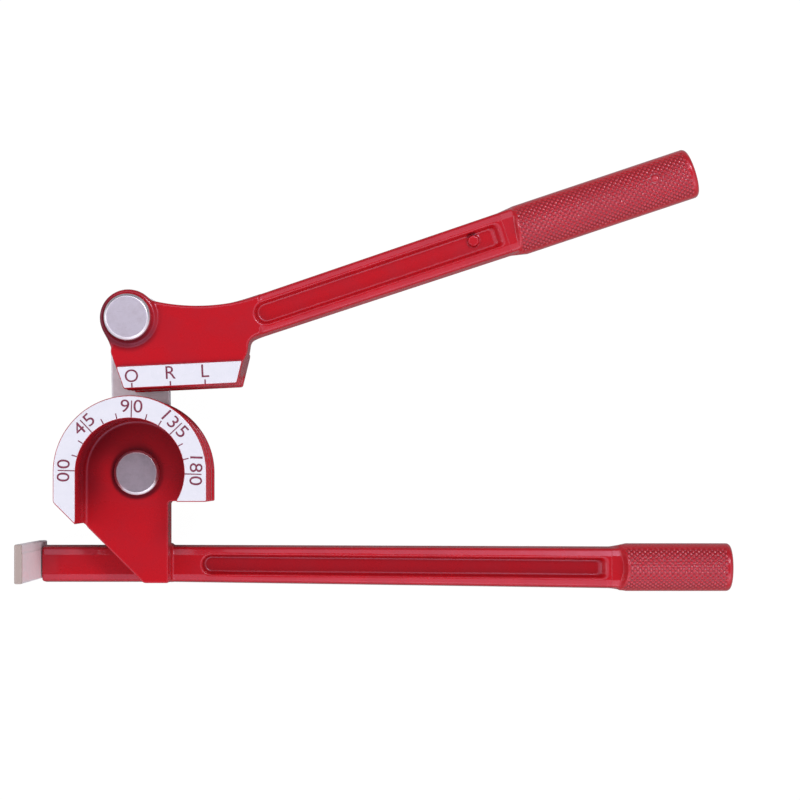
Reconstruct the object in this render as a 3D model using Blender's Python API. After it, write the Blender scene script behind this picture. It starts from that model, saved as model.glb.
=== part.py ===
"""Lever pipe bender for three tube sizes, lying on its back, in metres.

A cast handle carries a grooved half-round former with a pocket in its front. A steel
link swings about a pin in that pocket and carries a second pin, on which the cast
forming lever turns. A bent steel stop on the end of the handle backs the tube.
X runs along the handle towards its grip, Y towards the lever, and Z up, out of the
scale face. The part rests on the rear face of the handle and the rear ends of the pins.
"""
import math

import bmesh
import bpy
from mathutils import Vector

# Tubes that the grooves take, from the front groove to the rear one
FRONT_TUBE = 0.0060
MIDDLE_TUBE = 0.0080
REAR_TUBE = 0.0100
GROOVE_EASE = 0.0001
FLANGE_WALL = 0.0025

# Running and seating gaps
SEAT_GAP = 0.0003
OVERRUN = 0.0040

# Former at the end of the handle
BEND_RADIUS = 0.0266
POCKET_WALL = 0.0027
WEB_THICKNESS = 0.0120
WEB_RIGHT = 0.0110
WEB_EDGE_STEP = 0.0005
FORMER_LEG_DROP = 0.0102
FORMER_FOOT_DROP = 0.0104
WEB_CUT_STEP = 0.0003

# Handle bar behind the web
BAR_THICKNESS = 0.0135
BAR_NEAR_HEIGHT = 0.0136
BAR_FAR_HEIGHT = 0.0150
BAR_NEAR_DROP = 0.0331
BAR_FAR_DROP = 0.0344
BAR_SHOULDER = 0.1705
BAR_CHANNEL_START = 0.0220
BAR_CHANNEL_END = 0.1690
WEB_FOOT_LIP = 0.0005

# Arms, shared by the handle bar and the lever
ARM_BEVEL = 0.0017
ARM_STEP = 0.0003
ARM_RIB = 0.0016
CHANNEL_DEPTH = 0.0030
CHANNEL_DRAFT = 0.0004
CHANNEL_CORNER = 0.0015
CHANNEL_END_RUN = 0.0025
EJECTOR_RADIUS = 0.0019
EJECTOR_RISE = 0.0012
EJECTOR_SETBACK = 0.0097
EJECTOR_LIFT = 0.0009

# Grips
GRIP_DIAMETER = 0.01745
NECK_LENGTH = 0.0070
NECK_ROOT_RADIUS = 0.0065
NECK_SINK = 0.0060
BAR_GRIP_LENGTH = 0.0373
LEVER_GRIP_LENGTH = 0.0625
GRIP_EDGE = 0.0016
GRIP_CROWN = 0.0006

# Link plate and the rest position of the two joints
LINK_WIDTH = 0.0210
LINK_THICKNESS = 0.0050
LINK_EDGE = 0.0005
LINK_LEAN = math.radians(0.7)
SHOE_TILT = math.radians(2.8)

# Forming lever: shoe, plate and arm
SHOE_STANDOFF = 0.0025
SHOE_FACE = 0.0244
SHOE_LEFT = 0.0026
SHOE_RIGHT = 0.0364
SHOE_HEIGHT = 0.0122
SHOE_END_SLOPE = math.radians(16.5)
SHOE_GROOVE_SHARE = 0.90
SHOE_BAR_GAP = 0.0006
SCALE_STRIP_HEIGHT = 0.0076
SCALE_STRIP_RISE = 0.0010
PLATE_THICKNESS = 0.0140
PLATE_FILLET = 0.0095
SADDLE_RADIUS = 0.0680
SADDLE_LOW = 0.00295
BOSS_RADIUS = 0.0097
PLATE_INSET = 0.0005
HEEL_RIB = 0.0060
ARM_RAKE = math.radians(15.7)
ARM_OFFSET = 0.01365
ARM_NEAR_HEIGHT = 0.0143
ARM_FAR_HEIGHT = 0.0150
ARM_ROOT = 0.0300
ARM_SHOULDER = 0.1330
ARM_CHANNEL_START = 0.0420
ARM_CHANNEL_END = 0.1315

# Pins, bushes, washers and retaining rings
PIN_DIAMETER = 0.0100
PIN_HEAD_DIAMETER = 0.0160
PIN_HEAD_THICKNESS = 0.0030
PIN_CHAMFER = 0.0008
BUSH_WALL = 0.0015
LEVER_BUSH_LENGTH = 0.0120
WASHER_DIAMETER = 0.0180
WASHER_THICKNESS = 0.0012
WAVE_WASHER_DIAMETER = 0.0168
WAVE_WASHER_THICKNESS = 0.0005
WAVE_HEIGHT = 0.0006
WAVE_COUNT = 3
RING_DIAMETER = 0.0148
RING_THICKNESS = 0.0010
RING_GROOVE_DEPTH = 0.0007
RING_OPENING = math.radians(56)
RING_LUG_RADIUS = 0.0017
RING_LUG_HOLE = 0.0006

# Tube stop and its screws
STOP_STANDOFF = 0.0098
STOP_DROP = 0.0316
STOP_THICKNESS = 0.0028
STOP_WIDTH = 0.0136
STOP_RISE = 0.0515
STOP_LEG = 0.0240
STOP_BEND_RADIUS = 0.0030
STOP_CORNER = 0.0012
SCREW_DIAMETER = 0.0040
SCREW_HEAD_DIAMETER = 0.0078
SCREW_HEAD_HEIGHT = 0.0021
SCREW_LENGTH = 0.0095
SCREW_EDGE = 0.0075
SCREW_PITCH = 0.0090
SLOT_WIDTH = 0.0010
SLOT_DEPTH = 0.0009

# Facet counts
ARC_STEPS = 36
ROUND_STEPS = 32
GROOVE_SIDES = 20
SMALL_ARC_STEPS = 8

# Levels that follow from the sizes, measured up from the rear face
FORMER_REAR = BAR_THICKNESS
TUBES = (FRONT_TUBE, MIDDLE_TUBE, REAR_TUBE)
FORMER_DEPTH = sum(TUBES) + FLANGE_WALL * (len(TUBES) + 1)
SCALE_LEVEL = FORMER_REAR + FORMER_DEPTH
WEB_LEVEL = FORMER_REAR + WEB_THICKNESS
SHOE_REAR = FORMER_REAR + SHOE_BAR_GAP
LINK_FRONT = FORMER_REAR - SEAT_GAP
LINK_REAR = LINK_FRONT - LINK_THICKNESS
WAVE_FRONT = LINK_REAR - SEAT_GAP
WAVE_REAR = WAVE_FRONT - WAVE_WASHER_THICKNESS - WAVE_HEIGHT
WASHER_FRONT = WAVE_REAR - SEAT_GAP
WASHER_REAR = WASHER_FRONT - WASHER_THICKNESS
RING_FRONT = WASHER_REAR - SEAT_GAP
RING_REAR = RING_FRONT - RING_THICKNESS
PLATE_LEVEL = SCALE_LEVEL - SCALE_STRIP_RISE
PLATE_REAR = PLATE_LEVEL - PLATE_THICKNESS
ARM_MIDDLE = PLATE_LEVEL - PLATE_THICKNESS / 2

# Reaches that follow from the bend
POCKET_RADIUS = BEND_RADIUS - REAR_TUBE / 2 - GROOVE_EASE - POCKET_WALL
FORMER_CUT_REACH = BEND_RADIUS + FORMER_FOOT_DROP
WEB_CUT_REACH = FORMER_CUT_REACH + WEB_CUT_STEP
LINK_LENGTH = BEND_RADIUS + SHOE_STANDOFF + SHOE_FACE
STOP_INNER = BEND_RADIUS + STOP_STANDOFF

# Radii that follow from the pin
PIN_RADIUS = PIN_DIAMETER / 2
BORE_RADIUS = PIN_RADIUS + SEAT_GAP
BUSH_RADIUS = BORE_RADIUS + BUSH_WALL
BUSH_SEAT_RADIUS = BUSH_RADIUS + SEAT_GAP
RING_SEAT_RADIUS = PIN_RADIUS - RING_GROOVE_DEPTH


def material(name, colour, roughness, metallic):
    """A plain Principled material with the finish of one real surface."""
    result = bpy.data.materials.new(name)
    result.use_nodes = True
    shader = result.node_tree.nodes["Principled BSDF"]
    shader.inputs["Base Color"].default_value = (*colour, 1.0)
    shader.inputs["Roughness"].default_value = roughness
    shader.inputs["Metallic"].default_value = metallic
    return result


def arc(centre, radius, start, end, steps):
    """Points on a circle from one angle to another, both ends included."""
    turn = (end - start) / steps
    return [
        (centre[0] + radius * math.cos(start + turn * i), centre[1] + radius * math.sin(start + turn * i))
        for i in range(steps + 1)
    ]


def signed_area(outline):
    """Twice the area of an outline, positive when it runs anticlockwise."""
    following = outline[1:] + outline[:1]
    return sum(a[0] * b[1] - b[0] * a[1] for a, b in zip(outline, following))


def add_solid(name, rings, parent, closed=False):
    """A closed body through rings of points, with end caps unless the rings close on themselves."""
    mesh_data = bmesh.new()
    loops = [[mesh_data.verts.new(point) for point in ring] for ring in rings]
    pairs = list(zip(loops, loops[1:]))
    if closed:
        pairs.append((loops[-1], loops[0]))
    else:
        mesh_data.faces.new(loops[0])
        mesh_data.faces.new(loops[-1])
    for lower, upper in pairs:
        for i in range(len(lower)):
            following = (i + 1) % len(lower)
            mesh_data.faces.new((lower[i], lower[following], upper[following], upper[i]))
    bmesh.ops.recalc_face_normals(mesh_data, faces=mesh_data.faces)
    mesh = bpy.data.meshes.new(name)
    mesh_data.to_mesh(mesh)
    mesh_data.free()
    body = bpy.data.objects.new(name, mesh)
    bpy.context.scene.collection.objects.link(body)
    body.parent = parent
    return body


def prism(name, outline, low, high, parent):
    """An outline in the XY plane, extruded from one level to another."""
    if signed_area(outline) < 0:
        outline = outline[::-1]
    return add_solid(name, [[(x, y, level) for x, y in outline] for level in (low, high)], parent)


def tapered_prism(name, outlines, parent):
    """A prism whose outline changes from level to level: pairs of level and outline."""
    return add_solid(name, [[(x, y, level) for x, y in outline] for level, outline in outlines], parent)


def turns(steps):
    """Angles that share a full turn evenly."""
    return [2 * math.pi * i / steps for i in range(steps)]


def turned(name, profile, y, parent):
    """A closed profile of radius and level, turned about an upright axis at a place on Y."""
    rings = [
        [(radius * math.cos(angle), y + radius * math.sin(angle), level) for radius, level in profile]
        for angle in turns(ROUND_STEPS)
    ]
    return add_solid(name, rings, parent, closed=True)


def rod(name, profile, centre, parent, steps=ROUND_STEPS):
    """An upright round bar whose radius changes along it: pairs of radius and level."""
    x, y = centre
    rings = [
        [(x + radius * math.cos(angle), y + radius * math.sin(angle), level) for angle in turns(steps)]
        for radius, level in profile
    ]
    return add_solid(name, rings, parent)


def swept_round(name, path, level, radius, parent):
    """A round bar at one level, along a path of points and outward directions."""
    rings = []
    for (x, y), (out_x, out_y) in path:
        ring = []
        for i in range(GROOVE_SIDES):
            angle = 2 * math.pi * (i + 0.5) / GROOVE_SIDES
            reach = radius * math.cos(angle)
            ring.append((x + out_x * reach, y + out_y * reach, level + radius * math.sin(angle)))
        rings.append(ring)
    return add_solid(name, rings, parent)


def boolean(target, other, operation):
    """Combine a hidden body with a target by a Boolean modifier."""
    other.hide_render = True
    other.display_type = "WIRE"
    modifier = target.modifiers.new(other.name, "BOOLEAN")
    modifier.operation = operation
    modifier.solver = "EXACT"
    modifier.object = other


def cut(target, *cutters):
    for cutter in cutters:
        boolean(target, cutter, "DIFFERENCE")


def join(target, *others):
    for other in others:
        boolean(target, other, "UNION")


def finish(body, surface, smooth_angle=math.radians(32)):
    """Give a node its material, its smooth round faces and its sharp edges."""
    body.data.materials.append(surface)
    body.data.shade_smooth()
    body.data.set_sharp_from_angle(angle=smooth_angle)
    return body


def pivot(name, location, turn, parent):
    """An empty on a joint's axis."""
    result = bpy.data.objects.new(name, None)
    bpy.context.scene.collection.objects.link(result)
    result.parent = parent
    result.location = location
    result.rotation_euler = (0, 0, turn)
    return result


def groove_levels():
    """Centre level and radius of each tube groove, from the front to the rear."""
    level = SCALE_LEVEL
    grooves = []
    for tube in TUBES:
        level -= FLANGE_WALL + tube / 2
        grooves.append((level, tube / 2 + GROOVE_EASE))
        level -= tube / 2
    return grooves


def former_outline():
    """Scale face of the former, with its left foot cut off at 45 degrees."""
    left_foot = BEND_RADIUS - FORMER_CUT_REACH
    inner_foot = POCKET_RADIUS - FORMER_CUT_REACH
    outline = arc((0, 0), BEND_RADIUS, 0, math.pi, ARC_STEPS)
    outline.append((-BEND_RADIUS, left_foot))
    outline.append((-POCKET_RADIUS, inner_foot))
    outline.append((0, inner_foot))
    outline.append((0, -FORMER_LEG_DROP))
    outline.append((BEND_RADIUS, -FORMER_LEG_DROP))
    return outline


def groove_path():
    """Centre line of a tube in the former, with its stations between the outline's corners."""
    half_step = math.pi / ARC_STEPS / 2
    leg_start = -BEND_RADIUS * half_step
    path = [((BEND_RADIUS, -BEND_RADIUS), (1, 0)), ((BEND_RADIUS, leg_start), (1, 0))]
    for x, y in arc((0, 0), 1, half_step, math.pi - half_step, ARC_STEPS - 1):
        path.append(((BEND_RADIUS * x, BEND_RADIUS * y), (x, y)))
    path.append(((-BEND_RADIUS, leg_start), (-1, 0)))
    path.append(((-BEND_RADIUS, -BEND_RADIUS), (-1, 0)))
    return path


def pocket_outline():
    """Round pocket in the front of the former, open towards the handle."""
    right_angle = -math.asin(FORMER_LEG_DROP / POCKET_RADIUS)
    floor = -(FORMER_CUT_REACH + OVERRUN)
    outline = arc((0, 0), POCKET_RADIUS, right_angle, math.pi, ARC_STEPS)
    outline.append((-POCKET_RADIUS, floor))
    outline.append((outline[0][0], floor))
    return outline


def web_outline(bottom):
    """Plate that runs from the pocket's floor down over the handle bar."""
    left = WEB_EDGE_STEP - POCKET_RADIUS
    top = -FORMER_LEG_DROP / 2
    return [
        (left, top),
        (left, -WEB_CUT_REACH - left),
        (-WEB_CUT_REACH - bottom, bottom),
        (WEB_RIGHT, bottom),
        (WEB_RIGHT, top),
    ]


def link_room_outline():
    """Space behind the former in which the link swings."""
    reach = BEND_RADIUS + OVERRUN
    floor = bar_middle(-reach) + BAR_NEAR_HEIGHT / 2 + SEAT_GAP
    return [(-reach, floor), (reach, floor), (reach, reach), (-reach, reach)]


def arm_ring(along, height, middle_y, middle_z, thickness):
    """Six-sided section of an arm: widest at its mid plane, with drafted edges."""
    half_height = height / 2
    half_depth = thickness / 2
    face = half_height - ARM_BEVEL
    return [
        (along, middle_y + half_height, middle_z),
        (along, middle_y + face, middle_z + half_depth),
        (along, middle_y - face, middle_z + half_depth),
        (along, middle_y - half_height, middle_z),
        (along, middle_y - face, middle_z - half_depth),
        (along, middle_y + face, middle_z - half_depth),
    ]


def channel_outline(start, end, start_y, end_y, half_height):
    """Long pocket on an arm's centre line, half-round at its start and square with small corners at its end."""
    slope = math.atan2(end_y - start_y, end - start)
    quarter = math.pi / 2
    reach = half_height - CHANNEL_CORNER
    corners = [
        (end - CHANNEL_CORNER - side * reach * math.sin(slope), end_y + side * reach * math.cos(slope))
        for side in (-1, 1)
    ]
    steps = SMALL_ARC_STEPS // 2
    right = arc(corners[0], CHANNEL_CORNER, slope - quarter, slope, steps)
    right += arc(corners[1], CHANNEL_CORNER, slope, slope + quarter, steps)
    left = arc((start + half_height, start_y), half_height, slope + quarter, slope + 3 * quarter,
               SMALL_ARC_STEPS)
    return right + left


def cut_channel(target, name, place, half_height, face, inward, parent):
    """Sink a channel with drafted walls and a sloping end into one face of an arm."""
    start, end, start_y, end_y = place
    floor_end = end - CHANNEL_END_RUN
    floor_outline = channel_outline(start, floor_end, start_y, end_y, half_height - CHANNEL_DRAFT)
    face_outline = channel_outline(start, end, start_y, end_y, half_height)
    levels = [
        (face + inward * CHANNEL_DEPTH, floor_outline),
        (face, face_outline),
        (face - inward * OVERRUN, face_outline),
    ]
    cut(target, tapered_prism(name, levels, parent))


def add_grip(name, place, levels, length, parent):
    """Neck and round grip at the end of an arm, with the levels of the arm and of the grip's axis."""
    start, middle_y = place
    arm_level, grip_level = levels
    radius = GRIP_DIAMETER / 2
    edge_centre = (length - GRIP_EDGE - GRIP_CROWN, radius - GRIP_EDGE)
    stations = [
        (-NECK_LENGTH - NECK_SINK, NECK_ROOT_RADIUS, arm_level),
        (-NECK_LENGTH, NECK_ROOT_RADIUS, arm_level),
        (0, radius, grip_level),
    ]
    for along, reach in arc(edge_centre, GRIP_EDGE, math.pi / 2, 0, SMALL_ARC_STEPS // 2):
        stations.append((along, reach, grip_level))
    stations.append((length, GRIP_EDGE, grip_level))
    rings = [
        [
            (start + along, middle_y + reach * math.cos(angle), level + reach * math.sin(angle))
            for angle in turns(ROUND_STEPS)
        ]
        for along, reach, level in stations
    ]
    return add_solid(name, rings, parent)


def bar_height(along):
    """Height of the handle bar at a place along it."""
    share = (along - WEB_RIGHT) / (BAR_SHOULDER - WEB_RIGHT)
    return BAR_NEAR_HEIGHT + (BAR_FAR_HEIGHT - BAR_NEAR_HEIGHT) * max(share, 0)


def bar_middle(along):
    """Centre line of the handle bar at a place along it; it runs level behind the web."""
    share = max((along - WEB_RIGHT) / (BAR_SHOULDER - WEB_RIGHT), 0)
    return -BAR_NEAR_DROP - (BAR_FAR_DROP - BAR_NEAR_DROP) * share


def build_former_handle(parent, surface):
    """Casting with the former, the web, the bar and the lower grip."""
    bar_left = SEAT_GAP - STOP_INNER
    bar_core = BAR_THICKNESS / 2
    front = SCALE_LEVEL + OVERRUN
    body = prism("former_handle", former_outline(), bar_core, SCALE_LEVEL, parent)
    web_bottom = WEB_FOOT_LIP + bar_middle(0) - BAR_NEAR_HEIGHT / 2
    web = prism("web_body", web_outline(web_bottom), bar_core, WEB_LEVEL + OVERRUN, parent)
    stations = (bar_left, WEB_RIGHT, BAR_SHOULDER)
    rings = [arm_ring(x, bar_height(x), bar_middle(x), bar_core, BAR_THICKNESS) for x in stations]
    bar = add_solid("bar_body", rings, parent)
    grip_place = (BAR_SHOULDER + NECK_LENGTH, bar_middle(BAR_SHOULDER))
    grip_levels = (bar_core, GRIP_DIAMETER / 2)
    grip = add_grip("bar_grip_body", grip_place, grip_levels, BAR_GRIP_LENGTH, parent)
    join(bar, grip)
    join(body, web)
    cut(body, prism("former_pocket_cutter", pocket_outline(), WEB_LEVEL, front, parent))
    cut(body, prism("link_room_cutter", link_room_outline(), -OVERRUN, FORMER_REAR, parent))
    join(body, bar)

    for number, (level, radius) in enumerate(groove_levels(), start=1):
        cut(body, swept_round(f"former_groove_{number}_cutter", groove_path(), level, radius, parent))

    half_channel = BAR_NEAR_HEIGHT / 2 - ARM_BEVEL - ARM_RIB
    place = (BAR_CHANNEL_START, BAR_CHANNEL_END, bar_middle(BAR_CHANNEL_START), bar_middle(BAR_CHANNEL_END))
    cut_channel(body, "bar_front_channel_cutter", place, half_channel, BAR_THICKNESS, -1, parent)
    cut_channel(body, "bar_rear_channel_cutter", place, half_channel, 0, 1, parent)

    bore_profile = [(BUSH_SEAT_RADIUS, FORMER_REAR - OVERRUN), (BUSH_SEAT_RADIUS, front)]
    cut(body, rod("former_bore_cutter", bore_profile, (0, 0), parent))
    cut(body, prism("stop_seat_cutter", stop_seat_outline(), -OVERRUN, STOP_THICKNESS + SEAT_GAP, parent))
    for number, (x, y) in enumerate(screw_places(), start=1):
        radius = SCREW_DIAMETER / 2 + SEAT_GAP
        profile = [(radius, -OVERRUN), (radius, SCREW_LENGTH + SEAT_GAP)]
        cut(body, rod(f"stop_screw_hole_{number}_cutter", profile, (x, y), parent, GROOVE_SIDES))
    return finish(body, surface)


def stop_seat_outline():
    """Step in the bar's rear face for the leg of the tube stop."""
    left = -STOP_INNER - OVERRUN
    right = -STOP_INNER - STOP_THICKNESS + STOP_LEG + SEAT_GAP
    reach = BAR_FAR_HEIGHT / 2 + OVERRUN
    return [
        (left, -STOP_DROP - reach),
        (right, -STOP_DROP - reach),
        (right, -STOP_DROP + reach),
        (left, -STOP_DROP + reach),
    ]


def screw_places():
    """Centres of the two screws that hold the tube stop."""
    first = -STOP_INNER - STOP_THICKNESS + SCREW_EDGE
    return [(x, -STOP_DROP) for x in (first, first + SCREW_PITCH)]


def build_tube_stop(parent, surface):
    """Steel strip bent to an L: a leg behind the bar and a tall wall beside the tube."""
    outer = -STOP_INNER - STOP_THICKNESS
    bend = STOP_BEND_RADIUS
    quarter = math.pi / 2
    profile = [(outer + STOP_LEG, 0)]
    profile += arc((outer + bend, bend), bend, -quarter, -2 * quarter, SMALL_ARC_STEPS)
    profile.append((outer, STOP_RISE - STOP_CORNER / 2))
    profile.append((outer + STOP_CORNER / 2, STOP_RISE))
    profile.append((-STOP_INNER - STOP_CORNER / 2, STOP_RISE))
    profile.append((-STOP_INNER, STOP_RISE - STOP_CORNER / 2))
    profile.append((-STOP_INNER, STOP_THICKNESS))
    profile.append((outer + STOP_LEG, STOP_THICKNESS))
    sides = (-STOP_DROP - STOP_WIDTH / 2, -STOP_DROP + STOP_WIDTH / 2)
    body = add_solid("tube_stop", [[(x, y, z) for x, z in profile] for y in sides], parent)
    for number, (x, y) in enumerate(screw_places(), start=1):
        hole = SCREW_DIAMETER / 2 + SEAT_GAP
        head = SCREW_HEAD_DIAMETER / 2 + SEAT_GAP
        depth = SCREW_HEAD_HEIGHT + SEAT_GAP
        profile = [(head, -OVERRUN), (head, SEAT_GAP), (hole, depth), (hole, STOP_THICKNESS + OVERRUN)]
        cut(body, rod(f"stop_hole_{number}_cutter", profile, (x, y), parent, GROOVE_SIDES))
    return finish(body, surface)


def build_stop_screw(name, place, parent, surface):
    """Countersunk screw with a plain slot, driven from the rear."""
    x, y = place
    shank = SCREW_DIAMETER / 2
    head = SCREW_HEAD_DIAMETER / 2
    profile = [(head, SEAT_GAP), (shank, SCREW_HEAD_HEIGHT + SEAT_GAP), (shank, SCREW_LENGTH)]
    screw = rod(name, profile, place, parent, GROOVE_SIDES)
    slot_outline = [
        (x - SLOT_WIDTH / 2, y - head - OVERRUN),
        (x + SLOT_WIDTH / 2, y - head - OVERRUN),
        (x + SLOT_WIDTH / 2, y + head + OVERRUN),
        (x - SLOT_WIDTH / 2, y + head + OVERRUN),
    ]
    cut(screw, prism(f"{name}_slot_cutter", slot_outline, -OVERRUN, SEAT_GAP + SLOT_DEPTH, parent))
    return finish(screw, surface)


def shoe_lean(height):
    """How far the shoe's ends lean outwards at a height above its face."""
    return height * math.tan(SHOE_END_SLOPE)


def shoe_section():
    """Section of the shoe as height and level: three tube grooves, and the scale strip in front."""
    section = [(0, SCALE_LEVEL)]
    for level, radius in groove_levels():
        centre = -radius * (1 - SHOE_GROOVE_SHARE)
        spread = math.acos(-centre / radius)
        section += [
            (height, place)
            for height, place in arc((centre, level), radius, spread, -spread, GROOVE_SIDES // 2)
        ]
    shoulder = PLATE_LEVEL - ARM_STEP
    section.append((0, SHOE_REAR))
    section.append((SHOE_HEIGHT, SHOE_REAR))
    section.append((SHOE_HEIGHT, shoulder))
    section.append((SCALE_STRIP_HEIGHT, shoulder))
    section.append((SCALE_STRIP_HEIGHT, SCALE_LEVEL))
    return section


def plate_fillet():
    """Concave arc between the shoe's right end and the lower edge of the arm."""
    end_direction = math.pi / 2 - SHOE_END_SLOPE
    lower = -ARM_OFFSET - ARM_NEAR_HEIGHT / 2 + ARM_BEVEL / 2
    end_normal = Vector((math.sin(end_direction), -math.cos(end_direction)))
    arm_normal = Vector((math.sin(ARM_RAKE), -math.cos(ARM_RAKE)))
    end_point = Vector((SHOE_RIGHT - PLATE_INSET, -SHOE_FACE))
    arm_point = Vector((-lower * math.sin(ARM_RAKE), lower * math.cos(ARM_RAKE)))
    first = end_normal.dot(end_point) + PLATE_FILLET
    second = arm_normal.dot(arm_point) + PLATE_FILLET
    spread = end_normal.x * arm_normal.y - end_normal.y * arm_normal.x
    centre = (
        (first * arm_normal.y - end_normal.y * second) / spread,
        (end_normal.x * second - first * arm_normal.x) / spread,
    )
    start = math.atan2(-end_normal.y, -end_normal.x)
    end = math.atan2(-arm_normal.y, -arm_normal.x)
    return arc(centre, PLATE_FILLET, start, end - 2 * math.pi if end > start else end, SMALL_ARC_STEPS)


def saddle():
    """Concave upper edge of the plate, from the arm back to the boss."""
    upper = -ARM_OFFSET + ARM_NEAR_HEIGHT / 2 - ARM_BEVEL / 2
    centre_y = SADDLE_LOW + SADDLE_RADIUS
    centre_x = (centre_y * math.cos(ARM_RAKE) - upper - SADDLE_RADIUS) / math.sin(ARM_RAKE)
    reach = centre_x - BOSS_RADIUS * math.cos(math.pi / 4)
    end = -math.pi / 2 - math.asin(reach / SADDLE_RADIUS)
    return arc((centre_x, centre_y), SADDLE_RADIUS, ARM_RAKE - math.pi / 2, end, ARC_STEPS // 2)


def heel_line():
    """Left edge of the plate: its foot inside the shoe, and its end on the boss."""
    height = SHOE_HEIGHT - PLATE_INSET
    foot = Vector((PLATE_INSET - SHOE_LEFT - shoe_lean(height), height - SHOE_FACE))
    radius = BOSS_RADIUS - SEAT_GAP
    angle = math.atan2(-foot.y, -foot.x) + math.asin(radius / foot.length)
    reach = math.sqrt(foot.length ** 2 - radius ** 2)
    return foot, foot + Vector((math.cos(angle), math.sin(angle))) * reach


def plate_outline():
    """Front plate of the lever between the boss, the shoe and the arm."""
    foot, tangent = heel_line()
    upper = saddle()
    boss_start = math.atan2(upper[-1][1], upper[-1][0])
    boss_end = math.atan2(tangent.y, tangent.x) + 2 * math.pi * (tangent.y < 0)
    outline = [tuple(foot), (0, foot.y - SCALE_STRIP_RISE), (SHOE_RIGHT, foot.y - SCALE_STRIP_RISE)]
    outline += plate_fillet()
    outline += upper
    outline += arc((0, 0), BOSS_RADIUS - SEAT_GAP, boss_start, boss_end, SMALL_ARC_STEPS)
    return outline


def heel_outline():
    """Full-depth rib along the plate's left edge, which carries the load from pin to shoe."""
    foot, tangent = heel_line()
    along = (tangent - foot).normalized()
    across = Vector((along.y, -along.x))
    inner = PLATE_INSET + HEEL_RIB
    start = foot - along * PLATE_FILLET / 2
    corners = (start + across * PLATE_INSET, start + across * inner, tangent + across * inner,
               tangent + across * PLATE_INSET)
    return [tuple(corner) for corner in corners]


def build_forming_lever(parent, surface):
    """Casting with the boss, the plate, the grooved shoe, the arm and the upper grip."""
    body = prism("forming_lever", plate_outline(), PLATE_REAR, PLATE_LEVEL, parent)
    section = shoe_section()
    left_ring = [(-SHOE_LEFT - shoe_lean(height), height - SHOE_FACE, level) for height, level in section]
    right_ring = [(SHOE_RIGHT + shoe_lean(height), height - SHOE_FACE, level) for height, level in section]
    shoe = add_solid("shoe_body", [left_ring, right_ring], parent)
    heel = prism("heel_body", heel_outline(), SHOE_REAR + PLATE_INSET, ARM_MIDDLE, parent)
    boss_profile = [(BOSS_RADIUS, FORMER_REAR), (BOSS_RADIUS, SCALE_LEVEL)]
    boss = rod("boss_body", boss_profile, (0, 0), parent, ARC_STEPS)

    raked = pivot("arm_direction", (0, 0, 0), ARM_RAKE, parent)
    depth = PLATE_THICKNESS - 2 * ARM_STEP
    stations = ((ARM_ROOT, ARM_NEAR_HEIGHT), (ARM_SHOULDER, ARM_FAR_HEIGHT))
    rings = [arm_ring(along, height, -ARM_OFFSET, ARM_MIDDLE, depth) for along, height in stations]
    arm = add_solid("arm_body", rings, raked)
    grip_place = (ARM_SHOULDER + NECK_LENGTH, -ARM_OFFSET)
    grip_levels = (ARM_MIDDLE, ARM_MIDDLE)
    grip = add_grip("lever_grip_body", grip_place, grip_levels, LEVER_GRIP_LENGTH, raked)
    join(arm, grip)
    join(body, shoe, heel, boss, arm)

    half_channel = ARM_NEAR_HEIGHT / 2 - ARM_BEVEL - ARM_RIB
    place = (ARM_CHANNEL_START, ARM_CHANNEL_END, -ARM_OFFSET, -ARM_OFFSET)
    cut_channel(body, "arm_front_channel_cutter", place, half_channel, PLATE_LEVEL, -1, raked)
    cut_channel(body, "arm_rear_channel_cutter", place, half_channel, PLATE_REAR, 1, raked)
    floor = PLATE_LEVEL - CHANNEL_DEPTH
    pad_profile = [(EJECTOR_RADIUS, floor - EJECTOR_RISE), (EJECTOR_RADIUS, floor + EJECTOR_RISE)]
    pad_place = (ARM_CHANNEL_END - EJECTOR_SETBACK, EJECTOR_LIFT - ARM_OFFSET)
    join(body, rod("ejector_pad_body", pad_profile, pad_place, raked, GROOVE_SIDES))

    bore_profile = [
        (BUSH_SEAT_RADIUS, FORMER_REAR - OVERRUN),
        (BUSH_SEAT_RADIUS, SCALE_LEVEL + OVERRUN),
    ]
    cut(body, rod("lever_bore_cutter", bore_profile, (0, 0), parent))
    return finish(body, surface)


def build_link(parent, surface):
    """Steel plate with round ends that joins the two pins behind the castings."""
    half = LINK_WIDTH / 2
    outline = arc((0, 0), half, math.pi, 2 * math.pi, ARC_STEPS // 2)
    outline += arc((0, LINK_LENGTH), half, 0, math.pi, ARC_STEPS // 2)
    inner = half - LINK_EDGE
    narrow = arc((0, 0), inner, math.pi, 2 * math.pi, ARC_STEPS // 2)
    narrow += arc((0, LINK_LENGTH), inner, 0, math.pi, ARC_STEPS // 2)
    levels = [
        (LINK_REAR, narrow),
        (LINK_REAR + LINK_EDGE, outline),
        (LINK_FRONT - LINK_EDGE, outline),
        (LINK_FRONT, narrow),
    ]
    body = tapered_prism("link_plate", levels, parent)
    for name, y in (("link_former_hole_cutter", 0), ("link_lever_hole_cutter", LINK_LENGTH)):
        profile = [(BORE_RADIUS, LINK_REAR - OVERRUN), (BORE_RADIUS, LINK_FRONT + OVERRUN)]
        cut(body, rod(name, profile, (0, y), parent))
    return finish(body, surface)


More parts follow.
